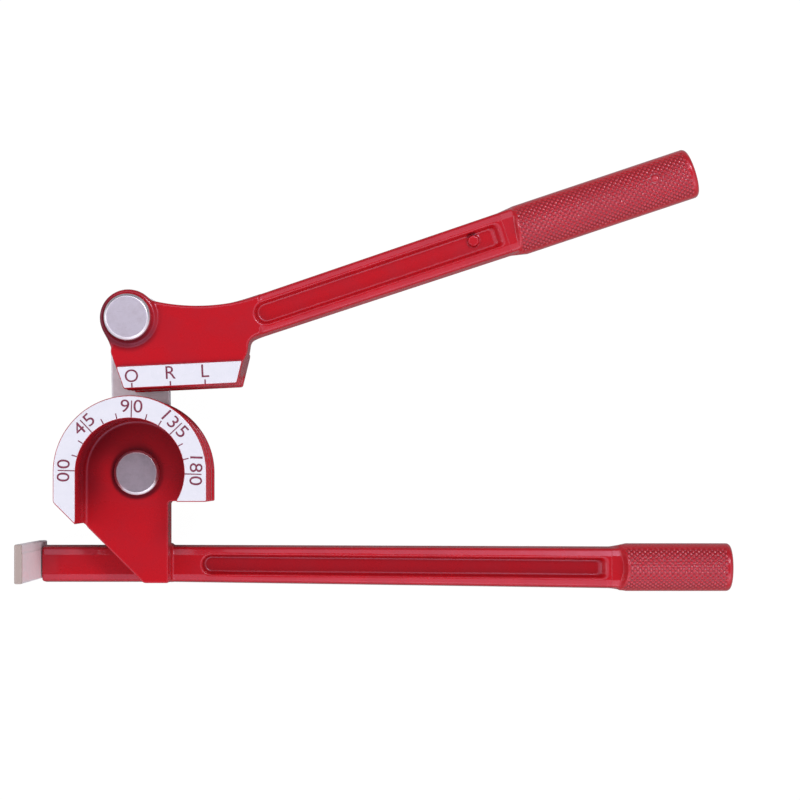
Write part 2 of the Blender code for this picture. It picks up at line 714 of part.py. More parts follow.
def build_pin(name, y, seat, parent, surface):
    """Round-headed pin with a groove near its rear end, which stands on the rear plane."""
    head = PIN_HEAD_DIAMETER / 2
    low = seat + SEAT_GAP
    top = low + PIN_HEAD_THICKNESS
    groove_low = RING_REAR - SEAT_GAP
    groove_high = RING_FRONT + SEAT_GAP
    profile = [
        (PIN_RADIUS - PIN_CHAMFER, 0),
        (PIN_RADIUS, PIN_CHAMFER),
        (PIN_RADIUS, groove_low),
        (RING_SEAT_RADIUS, groove_low),
        (RING_SEAT_RADIUS, groove_high),
        (PIN_RADIUS, groove_high),
        (PIN_RADIUS, low),
        (head - SEAT_GAP, low),
        (head, low + SEAT_GAP),
        (head, top - PIN_CHAMFER),
        (head - PIN_CHAMFER, top),
    ]
    return finish(rod(name, profile, (0, y), parent), surface)


def build_bush(name, low, high, parent, surface):
    """Plain round bush in a casting's bore."""
    profile = [(BORE_RADIUS, low), (BUSH_RADIUS, low), (BUSH_RADIUS, high), (BORE_RADIUS, high)]
    return finish(turned(name, profile, 0, parent), surface)


def build_washer(name, y, parent, surface):
    """Flat washer between the wave washer and the retaining ring."""
    outer = WASHER_DIAMETER / 2
    profile = [
        (BORE_RADIUS, WASHER_REAR),
        (outer, WASHER_REAR),
        (outer, WASHER_FRONT),
        (BORE_RADIUS, WASHER_FRONT),
    ]
    return finish(turned(name, profile, y, parent), surface)


def build_wave_washer(name, y, parent, surface):
    """Spring washer whose level rises and falls three times in a turn."""
    outer = WAVE_WASHER_DIAMETER / 2
    rings = []
    for i in range(ARC_STEPS):
        angle = 2 * math.pi * i / ARC_STEPS
        low = WAVE_REAR + WAVE_HEIGHT * (1 - math.cos(WAVE_COUNT * angle)) / 2
        high = low + WAVE_WASHER_THICKNESS
        corners = ((BORE_RADIUS, low), (outer, low), (outer, high), (BORE_RADIUS, high))
        rings.append([(r * math.cos(angle), y + r * math.sin(angle), z) for r, z in corners])
    return finish(add_solid(name, rings, parent, closed=True), surface)


def build_retaining_ring(name, y, parent, surface):
    """Open ring that snaps into the pin's groove, with a lug at each end."""
    inner = RING_SEAT_RADIUS + SEAT_GAP
    outer = RING_DIAMETER / 2
    start = math.pi / 2 + RING_OPENING / 2
    end = math.pi / 2 - RING_OPENING / 2 + 2 * math.pi
    outline = arc((0, y), outer, start, end, ARC_STEPS)
    outline += arc((0, y), inner, end, start, ARC_STEPS)
    body = prism(name, outline, RING_REAR, RING_FRONT, parent)
    for number, angle in enumerate((start, end), start=1):
        place = (outer * math.cos(angle), y + outer * math.sin(angle))
        lug_profile = [(RING_LUG_RADIUS, RING_REAR), (RING_LUG_RADIUS, RING_FRONT)]
        hole_profile = [(RING_LUG_HOLE, RING_REAR - OVERRUN), (RING_LUG_HOLE, RING_FRONT + OVERRUN)]
        join(body, rod(f"{name}_lug_{number}_body", lug_profile, place, parent, GROOVE_SIDES))
        cut(body, rod(f"{name}_lug_{number}_cutter", hole_profile, place, parent, SMALL_ARC_STEPS))
    return finish(body, surface)


def centre_on_origin(root):
    """Put the middle of the whole part's base on the origin."""
    bpy.context.view_layer.update()
    graph = bpy.context.evaluated_depsgraph_get()
    corners = []
    for item in bpy.context.scene.objects:
        if item.type == "MESH" and not item.hide_render:
            evaluated = item.evaluated_get(graph)
            corners += [item.matrix_world @ vertex.co for vertex in evaluated.data.vertices]
    low = Vector(min(corner[i] for corner in corners) for i in range(3))
    high = Vector(max(corner[i] for corner in corners) for i in range(3))
    middle = (low + high) / 2
    root.location = (-middle.x, -middle.y, -low.z)
    bpy.context.view_layer.update()


def main():
    for item in list(bpy.data.objects):
        bpy.data.objects.remove(item, do_unlink=True)

    enamel = material("red_enamel", (0.42, 0.012, 0.018), 0.28, 0.0)
    enamel_lever = material("red_enamel_lever", (0.42, 0.012, 0.018), 0.28, 0.0)
    strip_steel = material("link_steel", (0.45, 0.44, 0.43), 0.38, 1.0)
    stop_steel = material("stop_steel", (0.62, 0.62, 0.62), 0.35, 1.0)
    pin_steel = material("pin_steel", (0.52, 0.49, 0.53), 0.30, 1.0)
    screw_steel = material("screw_steel", (0.30, 0.30, 0.31), 0.40, 1.0)
    washer_steel = material("washer_steel", (0.60, 0.60, 0.58), 0.35, 1.0)
    spring_steel = material("spring_steel", (0.16, 0.15, 0.15), 0.42, 1.0)
    bronze = material("bush_bronze", (0.50, 0.30, 0.12), 0.40, 1.0)

    root = pivot("former_frame", (0, 0, 0), 0, None)
    link_axis = pivot("link_axis", (0, 0, 0), LINK_LEAN, root)
    lever_axis = pivot("lever_axis", (0, LINK_LENGTH, 0), SHOE_TILT - LINK_LEAN, link_axis)

    build_former_handle(root, enamel)
    build_tube_stop(root, stop_steel)
    for number, place in enumerate(screw_places(), start=1):
        build_stop_screw(f"tube_stop_screw_{number}", place, root, screw_steel)
    build_bush("former_pin_bush", FORMER_REAR, WEB_LEVEL, root, bronze)

    build_link(link_axis, strip_steel)
    for prefix, y, seat in (("former_pin", 0, WEB_LEVEL), ("lever_pin", LINK_LENGTH, SCALE_LEVEL)):
        build_pin(prefix, y, seat, link_axis, pin_steel)
        build_wave_washer(f"{prefix}_wave_washer", y, link_axis, spring_steel)
        build_washer(f"{prefix}_washer", y, link_axis, washer_steel)
        build_retaining_ring(f"{prefix}_retaining_ring", y, link_axis, spring_steel)

    build_forming_lever(lever_axis, enamel_lever)
    build_bush("lever_pin_rear_bush", FORMER_REAR, FORMER_REAR + LEVER_BUSH_LENGTH, lever_axis, bronze)
    build_bush("lever_pin_front_bush", SCALE_LEVEL - LEVER_BUSH_LENGTH, SCALE_LEVEL, lever_axis, bronze)

    centre_on_origin(root)


main()
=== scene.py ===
"""Looks of the lever pipe bender: cast surfaces, finishes, scale marks, light and camera."""

import bpy
import numpy as np
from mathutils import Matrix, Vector


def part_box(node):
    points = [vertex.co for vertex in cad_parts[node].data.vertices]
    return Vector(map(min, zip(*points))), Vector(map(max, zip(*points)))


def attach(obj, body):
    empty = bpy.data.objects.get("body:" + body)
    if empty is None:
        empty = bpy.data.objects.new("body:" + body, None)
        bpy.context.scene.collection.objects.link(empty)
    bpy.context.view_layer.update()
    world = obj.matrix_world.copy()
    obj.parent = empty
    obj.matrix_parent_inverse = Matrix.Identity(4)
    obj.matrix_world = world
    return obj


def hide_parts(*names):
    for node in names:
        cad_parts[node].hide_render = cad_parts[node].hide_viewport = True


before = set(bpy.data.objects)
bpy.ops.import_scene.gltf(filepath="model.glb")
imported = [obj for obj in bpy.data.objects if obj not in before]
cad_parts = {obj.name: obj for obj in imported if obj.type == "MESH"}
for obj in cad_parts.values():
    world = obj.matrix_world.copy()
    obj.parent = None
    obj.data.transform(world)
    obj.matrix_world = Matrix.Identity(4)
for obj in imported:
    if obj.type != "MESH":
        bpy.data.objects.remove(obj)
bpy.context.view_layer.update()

# Sizes in metres, as the CAD has them
TUBES = (0.0060, 0.0080, 0.0100)
GROOVE_EASE = 0.0001
FLANGE_WALL = 0.0025
BEND_RADIUS = 0.0266
POCKET_RADIUS = 0.0188
FORMER_LEG_DROP = 0.0102
FORMER_CUT_REACH = 0.0370
WEB_CUT_REACH = 0.0373
WEB_THICKNESS = 0.0120
WEB_RIGHT = 0.0110
WEB_LEFT = -0.0183
WEB_FOOT = -0.0394

BAR_THICKNESS = 0.0135
BAR_NEAR_HEIGHT = 0.0136
BAR_NEAR_DROP = 0.0331
BAR_GRIP_DROP = 0.0344
BAR_SHOULDER = 0.1705
BAR_CHANNEL_START = 0.0220
BAR_CHANNEL_END = 0.1690

ARM_BEVEL = 0.0017
ARM_RIB = 0.0016
CHANNEL_DEPTH = 0.0030
CHANNEL_DRAFT = 0.0004
CHANNEL_CORNER = 0.0015
CHANNEL_END_RUN = 0.0025
EJECTOR_RADIUS = 0.0019
EJECTOR_RISE = 0.0012
EJECTOR_SETBACK = 0.0097
EJECTOR_LIFT = 0.0009

GRIP_DIAMETER = 0.01745
NECK_LENGTH = 0.0070
BAR_GRIP_LENGTH = 0.0373
LEVER_GRIP_LENGTH = 0.0625

LINK_LENGTH = 0.0535
LINK_WIDTH = 0.0210
LINK_THICKNESS = 0.0050
LINK_LEAN = np.radians(0.7)
SHOE_TILT = np.radians(2.8)
SEAT_GAP = 0.0003

SHOE_FACE = 0.0244
SHOE_LEFT = 0.0026
SHOE_RIGHT = 0.0364
SHOE_HEIGHT = 0.0122
SHOE_BAR_GAP = 0.0006
SHOE_END_SLOPE = np.radians(16.5)
SHOE_GROOVE_SHARE = 0.90
SCALE_STRIP_HEIGHT = 0.0076
SCALE_STRIP_RISE = 0.0010
PLATE_THICKNESS = 0.0140
PLATE_FILLET = 0.0095
PLATE_INSET = 0.0005
SADDLE_RADIUS = 0.0680
SADDLE_LOW = 0.00295
BOSS_RADIUS = 0.0097
HEEL_RIB = 0.0060
ARM_RAKE = np.radians(15.7)
ARM_GRIP_OFFSET = 0.01365
ARM_NEAR_HEIGHT = 0.0143
ARM_ROOT = 0.0300
ARM_SHOULDER = 0.1330
ARM_CHANNEL_START = 0.0420
ARM_CHANNEL_END = 0.1315

PIN_DIAMETER = 0.0100
PIN_HEAD_DIAMETER = 0.0160
PIN_HEAD_THICKNESS = 0.0030
BUSH_WALL = 0.0015
LEVER_BUSH_LENGTH = 0.0120
WASHER_DIAMETER = 0.0180
WASHER_THICKNESS = 0.0012
WAVE_WASHER_DIAMETER = 0.0168
WAVE_WASHER_THICKNESS = 0.0005
WAVE_HEIGHT = 0.0006
WAVE_COUNT = 3
RING_DIAMETER = 0.0148
RING_THICKNESS = 0.0010
RING_GROOVE_DEPTH = 0.0007
RING_OPENING = np.radians(56)
RING_LUG_RADIUS = 0.0017
RING_LUG_HOLE = 0.0006

STOP_INNER = 0.0364
STOP_DROP = 0.0316
STOP_THICKNESS = 0.0028
STOP_WIDTH = 0.0136
STOP_RISE = 0.0515
STOP_LEG = 0.0240
STOP_BEND_RADIUS = 0.0030
SCREW_DIAMETER = 0.0040
SCREW_HEAD_DIAMETER = 0.0078
SCREW_LENGTH = 0.0095
SCREW_EDGE = 0.0075
SCREW_PITCH = 0.0090
SLOT_WIDTH = 0.0010
SLOT_DEPTH = 0.0009

# Sizes in which the looks depart from the CAD, as the photograph shows them: the arms' far ends, the fall of
# their ribs, the shoe's left corner, and the stop's leg, which ends further in past a shoulder
BAR_FAR_HEIGHT = 0.0153
BAR_FAR_DROP = 0.03455
ARM_FAR_HEIGHT = 0.0156
ARM_OFFSET = 0.01335
ARM_DRAFT = 0.0007
ARM_FALL = np.radians(18)
SHOE_LEFT_RISE = 0.0017
STOP_LEG_EDGE = 0.0056
STOP_SHOULDER = 0.0029

# Levels that follow from the sizes, measured up from the rear face
SCALE_LEVEL = BAR_THICKNESS + sum(TUBES) + FLANGE_WALL * (len(TUBES) + 1)
WEB_LEVEL = BAR_THICKNESS + WEB_THICKNESS
SHOE_REAR = BAR_THICKNESS + SHOE_BAR_GAP
LINK_FRONT = BAR_THICKNESS - SEAT_GAP
LINK_REAR = LINK_FRONT - LINK_THICKNESS
WAVE_FRONT = LINK_REAR - SEAT_GAP
WAVE_REAR = WAVE_FRONT - WAVE_WASHER_THICKNESS - WAVE_HEIGHT
WASHER_FRONT = WAVE_REAR - SEAT_GAP
WASHER_REAR = WASHER_FRONT - WASHER_THICKNESS
RING_FRONT = WASHER_REAR - SEAT_GAP
RING_REAR = RING_FRONT - RING_THICKNESS
PLATE_LEVEL = SCALE_LEVEL - SCALE_STRIP_RISE
PLATE_REAR = PLATE_LEVEL - PLATE_THICKNESS
ARM_MIDDLE = PLATE_LEVEL - PLATE_THICKNESS / 2
GROOVE_LEVELS = [
    SCALE_LEVEL - FLANGE_WALL * (i + 1) - sum(TUBES[:i]) - TUBES[i] / 2 for i in range(len(TUBES))
]

# Radii of the castings' edges and fillets, and the clearance between the web and the bar beside it
CAST_EDGE = 0.0006
BAR_CLEARANCE = 0.0007
LIP_EDGE = 0.0004
CHANNEL_LIP = 0.0009
ARM_EDGE = 0.0009
BOSS_EDGE = 0.0010
SMALL_FILLET = 0.0010
FLOOR_FILLET = 0.0014
SHOE_FILLET = 0.0040
SHOE_CORNER = 0.0016
PLATE_EDGE = 0.0010
SEAM = 0.0004


def middle(node):
    """Centre of a node's box, as an array."""
    low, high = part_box(node)
    return (np.array(low) + np.array(high)) / 2


MAIN_PIN = middle("former_pin")
LEVER_PIN = middle("lever_pin")


# Distances: every shape is a function that is negative inside it
def both(a, b, edge):
    """Overlap of two shapes, with the edge where they meet rounded to a radius."""
    return np.minimum(np.maximum(a, b), -edge) + np.hypot(np.maximum(a + edge, 0), np.maximum(b + edge, 0))


def either(a, b, fillet):
    """Two shapes joined, with a fillet of a radius in the corner between them."""
    return -both(-a, -b, fillet)


def without(a, b, edge):
    """The first shape with the second cut out of it, and the lip of the cut rounded."""
    return both(a, -b, edge)


def between(value, low, high):
    """Distance to a slab between two levels."""
    return np.abs(value - (low + high) / 2) - (high - low) / 2


def turned_about(x, y, angle):
    """Coordinates in axes turned by an angle."""
    return x * np.cos(angle) + y * np.sin(angle), y * np.cos(angle) - x * np.sin(angle)


def arc(centre, radius, start, end, count):
    """Points on a circle from one angle to another."""
    turn = np.linspace(start, end, count)
    return np.stack([centre[0] + radius * np.cos(turn), centre[1] + radius * np.sin(turn)], axis=1)


def inside_outline(x, y, outline):
    """Distance to the nearest side of a closed outline, negative where a ray to the left crosses an odd number."""
    shape = np.broadcast(x, y).shape
    nearest = np.full(shape, np.inf)
    odd = np.zeros(shape, bool)
    for (ax, ay), (bx, by) in zip(np.roll(outline, 1, axis=0), outline):
        dx, dy = bx - ax, by - ay
        share = np.clip(((x - ax) * dx + (y - ay) * dy) / (dx * dx + dy * dy), 0, 1)
        nearest = np.minimum(nearest, (x - ax - share * dx) ** 2 + (y - ay - share * dy) ** 2)
        if dy:
            odd ^= ((ay > y) != (by > y)) & (x < ax + (y - ay) * dx / dy)
    return np.where(odd, -1, 1) * np.sqrt(nearest)


def arm_section(across, level, half_height, half_depth):
    """Section of an arm: two flat faces, ribs that fall gently from them to both sides, and steep sides."""
    out, up = np.abs(across) - half_height, np.abs(level) - half_depth
    steep = (out * half_depth + np.abs(level) * ARM_DRAFT) / np.hypot(half_depth, ARM_DRAFT)
    gentle = up * np.cos(ARM_FALL) + (out + ARM_BEVEL + ARM_RIB) * np.sin(ARM_FALL)
    return np.maximum(both(steep, gentle, ARM_EDGE), up)


def channel(along, across, depth, start, end, half_height):
    """Long pocket, round at its start and square at its sloping end; depth is how far below the face."""
    share = depth / CHANNEL_DEPTH
    half = half_height - CHANNEL_DRAFT * share
    beyond = along - end + CHANNEL_END_RUN * share
    beyond = beyond * CHANNEL_DEPTH / np.hypot(CHANNEL_DEPTH, CHANNEL_END_RUN)
    square = both(beyond, np.abs(across) - half, CHANNEL_CORNER)
    round_start = np.hypot(np.maximum(start + half_height - along, 0), across) - half
    return both(np.maximum(square, round_start), depth - CHANNEL_DEPTH, SMALL_FILLET)


def bar_share(x):
    """How far along the bar's taper a place is; the part behind the web has no taper."""
    return np.maximum((x - WEB_RIGHT) / (BAR_SHOULDER - WEB_RIGHT), 0)


def handle_field(x, y, z):
    """Handle casting about the main pin, up to its neck.

    The former is a disc with a straight foot, less the pocket and a round groove at each level; the web joins
    it to the bar, an arm section on a tapering line, less a channel in each face, the stop's seat and the bore.
    """
    reach = np.hypot(x, np.maximum(y, 0))
    foot = np.where(
        x < 0,
        np.maximum(-(x + y + FORMER_CUT_REACH) * np.sqrt(0.5), POCKET_RADIUS - FORMER_CUT_REACH - y),
        -FORMER_LEG_DROP - y,
    )
    flat = both(reach - BEND_RADIUS, foot, CAST_EDGE)
    former = both(flat, between(z, BAR_THICKNESS, SCALE_LEVEL), CAST_EDGE)
    pocket = np.hypot(x, np.maximum(y, np.where(x < 0, 0, -FORMER_LEG_DROP))) - POCKET_RADIUS
    pocket = both(pocket, WEB_LEVEL - z, FLOOR_FILLET)

    web = both(WEB_LEFT - x, -(x + y + WEB_CUT_REACH) * np.sqrt(0.5), CAST_EDGE)
    web = both(web, WEB_FOOT - y, CAST_EDGE)
    web = both(both(web, x - WEB_RIGHT, CAST_EDGE), y + FORMER_LEG_DROP / 2, CAST_EDGE)
    web = both(web, between(z, BAR_THICKNESS / 2, WEB_LEVEL), CAST_EDGE)
    former = without(former, pocket, LIP_EDGE)
    body = np.maximum(either(former, web, SMALL_FILLET), -pocket)
    for level, tube in zip(GROOVE_LEVELS, TUBES):
        groove = np.hypot(reach - BEND_RADIUS, z - level) - tube / 2 - GROOVE_EASE
        body = without(body, groove, LIP_EDGE)
    bar_middle = -BAR_NEAR_DROP - (BAR_FAR_DROP - BAR_NEAR_DROP) * bar_share(x)
    room = -BAR_NEAR_DROP + BAR_NEAR_HEIGHT / 2 + BAR_CLEARANCE
    body = without(body, np.maximum(room - y, z - BAR_THICKNESS), CAST_EDGE)

    half_height = (BAR_NEAR_HEIGHT + (BAR_FAR_HEIGHT - BAR_NEAR_HEIGHT) * bar_share(x)) / 2
    core = BAR_THICKNESS / 2
    across = y - bar_middle
    bar = arm_section(across, z - core, half_height, core)
    bar = both(bar, SEAT_GAP - STOP_INNER - x, CAST_EDGE)
    body = np.maximum(either(body, bar, SMALL_FILLET), x - BAR_SHOULDER - SEAM)

    half_channel = BAR_NEAR_HEIGHT / 2 - ARM_BEVEL - ARM_RIB
    for depth in (BAR_THICKNESS - z, z):
        trough = channel(x, across, depth, BAR_CHANNEL_START, BAR_CHANNEL_END, half_channel)
        body = without(body, trough, CHANNEL_LIP)
    seat = np.maximum(x + STOP_INNER + STOP_THICKNESS - STOP_LEG - SEAT_GAP, z - STOP_THICKNESS - SEAT_GAP)
    body = without(body, seat, LIP_EDGE)
    bore = PIN_DIAMETER / 2 + BUSH_WALL + 2 * SEAT_GAP
    return without(body, np.hypot(x, y) - bore + 0 * z, LIP_EDGE)


def lever_outline():
    """Outline of the lever's plate: heel, shoe, hollow under the arm, saddle and boss."""
    height = SHOE_HEIGHT - PLATE_INSET
    foot = np.array([PLATE_INSET - SHOE_LEFT - height * np.tan(SHOE_END_SLOPE), height - SHOE_FACE])
    radius = BOSS_RADIUS - SEAT_GAP
    length = np.hypot(*foot)
    turn = np.arctan2(-foot[1], -foot[0]) + np.arcsin(radius / length)
    heading = np.array([np.cos(turn), np.sin(turn)])
    tangent = foot + heading * np.sqrt(length ** 2 - radius ** 2)

    end_direction = np.pi / 2 - SHOE_END_SLOPE
    lower = -ARM_OFFSET - ARM_NEAR_HEIGHT / 2 + ARM_BEVEL / 2
    normals = np.array([
        [np.sin(end_direction), -np.cos(end_direction)],
        [np.sin(ARM_RAKE), -np.cos(ARM_RAKE)],
    ])
    points = np.array([
        [SHOE_RIGHT - PLATE_INSET, -SHOE_FACE],
        [-lower * np.sin(ARM_RAKE), lower * np.cos(ARM_RAKE)],
    ])
    centre = np.linalg.solve(normals, (normals * points).sum(axis=1) + PLATE_FILLET)
    start, end = np.arctan2(-normals[:, 1], -normals[:, 0])
    hollow = arc(centre, PLATE_FILLET, start, end - 2 * np.pi * (end > start), 13)

    upper = -ARM_OFFSET + ARM_NEAR_HEIGHT / 2 - ARM_BEVEL / 2
    middle_y = SADDLE_LOW + SADDLE_RADIUS
    middle_x = (middle_y * np.cos(ARM_RAKE) - upper - SADDLE_RADIUS) / np.sin(ARM_RAKE)
    reach = middle_x - BOSS_RADIUS * np.cos(np.pi / 4)
    saddle = arc((middle_x, middle_y), SADDLE_RADIUS, ARM_RAKE - np.pi / 2,
                 -np.pi / 2 - np.arcsin(reach / SADDLE_RADIUS), 25)
    boss_start = np.arctan2(saddle[-1][1], saddle[-1][0])
    boss_end = np.arctan2(tangent[1], tangent[0]) + 2 * np.pi * (tangent[1] < 0)
    boss = arc((0, 0), radius, boss_start, boss_end, 13)
    bottom = [[0, foot[1] - SCALE_STRIP_RISE], [SHOE_RIGHT, foot[1] - SCALE_STRIP_RISE]]
    return np.concatenate([[foot], bottom, hollow, saddle, boss]), foot, tangent, heading


LEVER_OUTLINE, HEEL_FOOT, HEEL_TANGENT, HEEL_HEADING = lever_outline()


def lever_field(x, y, z):
    """Lever casting about its pin, up to its neck.

    The plate is the outline joined to the shoe's side view, between two levels; the arm section, the shoe, its
    scale strip, the heel rib and the boss are joined to it, less the grooves, the channels and the bore.
    """
    height = y + SHOE_FACE
    lean, rise = np.cos(SHOE_END_SLOPE), np.sin(SHOE_END_SLOPE)
    ends = np.maximum((-x - SHOE_LEFT) * lean - height * rise, (x - SHOE_RIGHT) * lean - height * rise)
    side_top = SHOE_HEIGHT + SHOE_LEFT_RISE * np.clip(-x / (2 * SHOE_LEFT), 0, 1)
    corner = np.where(height > SHOE_HEIGHT / 2, SHOE_CORNER, CAST_EDGE)
    side_view = both(between(height, 0, side_top), ends, corner)
    fillet = np.where(x > SHOE_RIGHT / 2, SHOE_FILLET, SMALL_FILLET)
    flat = either(inside_outline(x, y, LEVER_OUTLINE), side_view, fillet)
    body = both(flat, between(z, PLATE_REAR, PLATE_LEVEL), PLATE_EDGE)
    a, b = turned_about(x, y, ARM_RAKE)
    share = np.clip((a - ARM_ROOT) / (ARM_SHOULDER - ARM_ROOT), 0, 1)
    half_height = (ARM_NEAR_HEIGHT + (ARM_FAR_HEIGHT - ARM_NEAR_HEIGHT) * share) / 2
    b = b + ARM_OFFSET
    arm = arm_section(b, z - ARM_MIDDLE, half_height, PLATE_THICKNESS / 2 - SEAT_GAP)
    arm = both(arm, ARM_ROOT - a, CAST_EDGE)
    body = np.maximum(either(body, arm, SMALL_FILLET), between(z, PLATE_REAR, PLATE_LEVEL))
    body = np.maximum(body, a - ARM_SHOULDER - SEAM)

    shoe = both(side_view, SHOE_REAR - z, CAST_EDGE)
    strip = both(between(height, 0, SCALE_STRIP_HEIGHT), ends, LIP_EDGE)
    strip = both(strip, between(z, PLATE_REAR, SCALE_LEVEL), LIP_EDGE)
    body = np.maximum(either(body, np.maximum(shoe, z - PLATE_LEVEL), SMALL_FILLET), z - PLATE_LEVEL)
    body = either(body, strip, LIP_EDGE / 2)

    across = (x - HEEL_FOOT[0]) * HEEL_HEADING[1] - (y - HEEL_FOOT[1]) * HEEL_HEADING[0]
    along = (x - HEEL_FOOT[0]) * HEEL_HEADING[0] + (y - HEEL_FOOT[1]) * HEEL_HEADING[1]
    heel_length = np.hypot(*(HEEL_TANGENT - HEEL_FOOT))
    heel = both(between(across, PLATE_INSET, PLATE_INSET + HEEL_RIB),
                between(along, -PLATE_FILLET / 2, heel_length), CAST_EDGE)
    heel = both(heel, between(z, SHOE_REAR + PLATE_INSET, ARM_MIDDLE), CAST_EDGE)
    body = either(body, heel, SMALL_FILLET)
    boss = both(np.hypot(x, y) - BOSS_RADIUS, between(z, BAR_THICKNESS, SCALE_LEVEL), BOSS_EDGE)
    body = either(body, boss, SMALL_FILLET)
    for level, tube in zip(GROOVE_LEVELS, TUBES):
        radius = tube / 2 + GROOVE_EASE
        groove = np.hypot(height + radius * (1 - SHOE_GROOVE_SHARE), z - level) - radius + 0 * x
        body = without(body, groove, LIP_EDGE)

    half_channel = ARM_NEAR_HEIGHT / 2 - ARM_BEVEL - ARM_RIB
    for depth in (PLATE_LEVEL - SEAT_GAP - z, z - PLATE_REAR - SEAT_GAP):
        trough = channel(a, b, depth, ARM_CHANNEL_START, ARM_CHANNEL_END, half_channel)
        body = without(body, trough, CHANNEL_LIP)
    pad = np.hypot(a - ARM_CHANNEL_END + EJECTOR_SETBACK, b - EJECTOR_LIFT) - EJECTOR_RADIUS
    floor = PLATE_LEVEL - CHANNEL_DEPTH
    body = either(body, both(pad, between(z, floor - EJECTOR_RISE, floor + EJECTOR_RISE), LIP_EDGE), LIP_EDGE)
    bore = PIN_DIAMETER / 2 + BUSH_WALL + 2 * SEAT_GAP
    return without(body, np.hypot(x, y) - bore + 0 * z, LIP_EDGE)


# Skins: a surface is found where a distance is zero
SLOPE_REACH = 0.00005
STEP_LIMIT = 0.0004
STEPS = 4
LEAST_SLOPE = 0.2
RELIEF_REACH = 0.0009
TINY = 1e-9


def stations(*stretches):
    """Grid lines along one axis, from stretches of start, end and step."""
    lines = [np.linspace(a, b, max(int(round((b - a) / step)), 1), endpoint=False) for a, b, step in stretches]
    return np.concatenate(lines + [[stretches[-1][1]]])


def slope_of(field, points):
    """Gradient of a distance at points, from its change across a small reach."""
    x, y, z = points.T
    reach = SLOPE_REACH
    return np.stack([
        field(x + reach, y, z) - field(x - reach, y, z),
        field(x, y + reach, z) - field(x, y - reach, z),
        field(x, y, z + reach) - field(x, y, z - reach),
    ], axis=1) / (2 * reach)


def skin(field, *axes):
    """Points, faces and normals of the surface where a field is zero.

    Each grid cell that the surface crosses gets one point, at the mean of the crossings on its edges, which
    then moves down the field's slope onto the surface: by the field times the slope over its square. Each
    crossed grid edge gives one face between its four cells.
    """
    grid = np.meshgrid(*axes, indexing="ij", sparse=True)
    values = field(*grid)
    below = values < 0
    cells = np.array(values.shape) - 1
    total = np.zeros((cells.prod(), 3))
    count = np.zeros(cells.prod())
    quads = []
    for axis in range(3):
        first = [slice(None)] * 3
        second = [slice(None)] * 3
        first[axis] = slice(None, -1)
        second[axis] = slice(1, None)
        entering = below[tuple(first)]
        place = np.argwhere(entering != below[tuple(second)])
        start = values[tuple(first)][tuple(place.T)]
        end = values[tuple(second)][tuple(place.T)]
        crossing = np.stack([axes[i][place[:, i]] for i in range(3)], axis=1)
        step = axes[axis][place[:, axis] + 1] - axes[axis][place[:, axis]]
        crossing[:, axis] += step * start / (start - end)
        others = [i for i in range(3) if i != axis]
        corners = []
        for shift in ((0, 0), (1, 0), (1, 1), (0, 1)):
            cell = place.copy()
            cell[:, others] -= shift
            corners.append(np.ravel_multi_index(cell.T, cells))
        corners = np.stack(corners, axis=1)
        for i in range(4):
            np.add.at(count, corners[:, i], 1)
            np.add.at(total, corners[:, i], crossing)
        leaving = entering[tuple(place.T)] ^ (axis == 1)
        quads.append(np.where(leaving[:, None], corners, corners[:, ::-1]))
    used = np.flatnonzero(count)
    points = total[used] / count[used][:, None]
    renumber = np.zeros(len(count), np.int64)
    renumber[used] = np.arange(len(used))
    faces = renumber[np.concatenate(quads)]
    for _ in range(STEPS):
        slope = slope_of(field, points)
        square = np.maximum((slope ** 2).sum(axis=1), LEAST_SLOPE)
        move = -field(*points.T)[:, None] * slope / square[:, None]
        size = np.linalg.norm(move, axis=1, keepdims=True)
        points = points + move * np.minimum(1, STEP_LIMIT / np.maximum(size, TINY))
    normals = slope_of(field, points)
    normals /= np.maximum(np.linalg.norm(normals, axis=1, keepdims=True), TINY)
    return points, faces, normals


def relief(field, points, normals):
    """How much a surface stands out as an edge, and how deep it lies in a corner: one less the field's share
    of a reach into and out of the surface.
    """
    out = field(*(points + normals * RELIEF_REACH).T) / RELIEF_REACH
    into = field(*(points - normals * RELIEF_REACH).T) / RELIEF_REACH
    return np.clip(1 + into, 0, 1), np.clip(1 - out, 0, 1)


# Meshes
def new_mesh(name, points, faces, normals=None, layers=None):
    """A smooth mesh from arrays of points and quads, with its own normals and named values where given.

    A quad whose corners meet at a pole becomes a triangle, and points that no face uses are left out.
    """
    faces = np.asarray(faces)
    used, renumbered = np.unique(faces, return_inverse=True)
    faces = renumbered.reshape(faces.shape)
    keep = faces != np.roll(faces, -1, axis=1)
    sides = keep.sum(axis=1)
    loops = faces[keep]
    mesh = bpy.data.meshes.new(name)
    mesh.vertices.add(len(used))
    mesh.vertices.foreach_set("co", np.asarray(points, np.float32)[used].ravel())
    mesh.loops.add(len(loops))
    mesh.loops.foreach_set("vertex_index", loops.astype(np.int32))
    mesh.polygons.add(len(faces))
    mesh.polygons.foreach_set("loop_start", (np.cumsum(sides) - sides).astype(np.int32))
    mesh.polygons.foreach_set("loop_total", sides.astype(np.int32))
    mesh.update(calc_edges=True)
    mesh.validate()
    mesh.shade_smooth()
    for title, values in (layers or {}).items():
        layer = mesh.attributes.new(title, "FLOAT", "POINT")
        layer.data.foreach_set("value", values[used].astype(np.float32))
    if normals is not None:
        mesh.normals_split_custom_set_from_vertices(normals[used])
    return mesh


def place(name, mesh, body, surface, slot, *nodes):
    """Put a mesh in the scene as a piece on a body, with its finish and the nodes it stands for."""
    mesh.name = name
    piece = bpy.data.objects.new(name, mesh)
    bpy.context.scene.collection.objects.link(piece)
    mesh.materials.clear()
    mesh.materials.append(surface)
    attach(piece, body)
    if nodes:
        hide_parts(*nodes)
    return piece


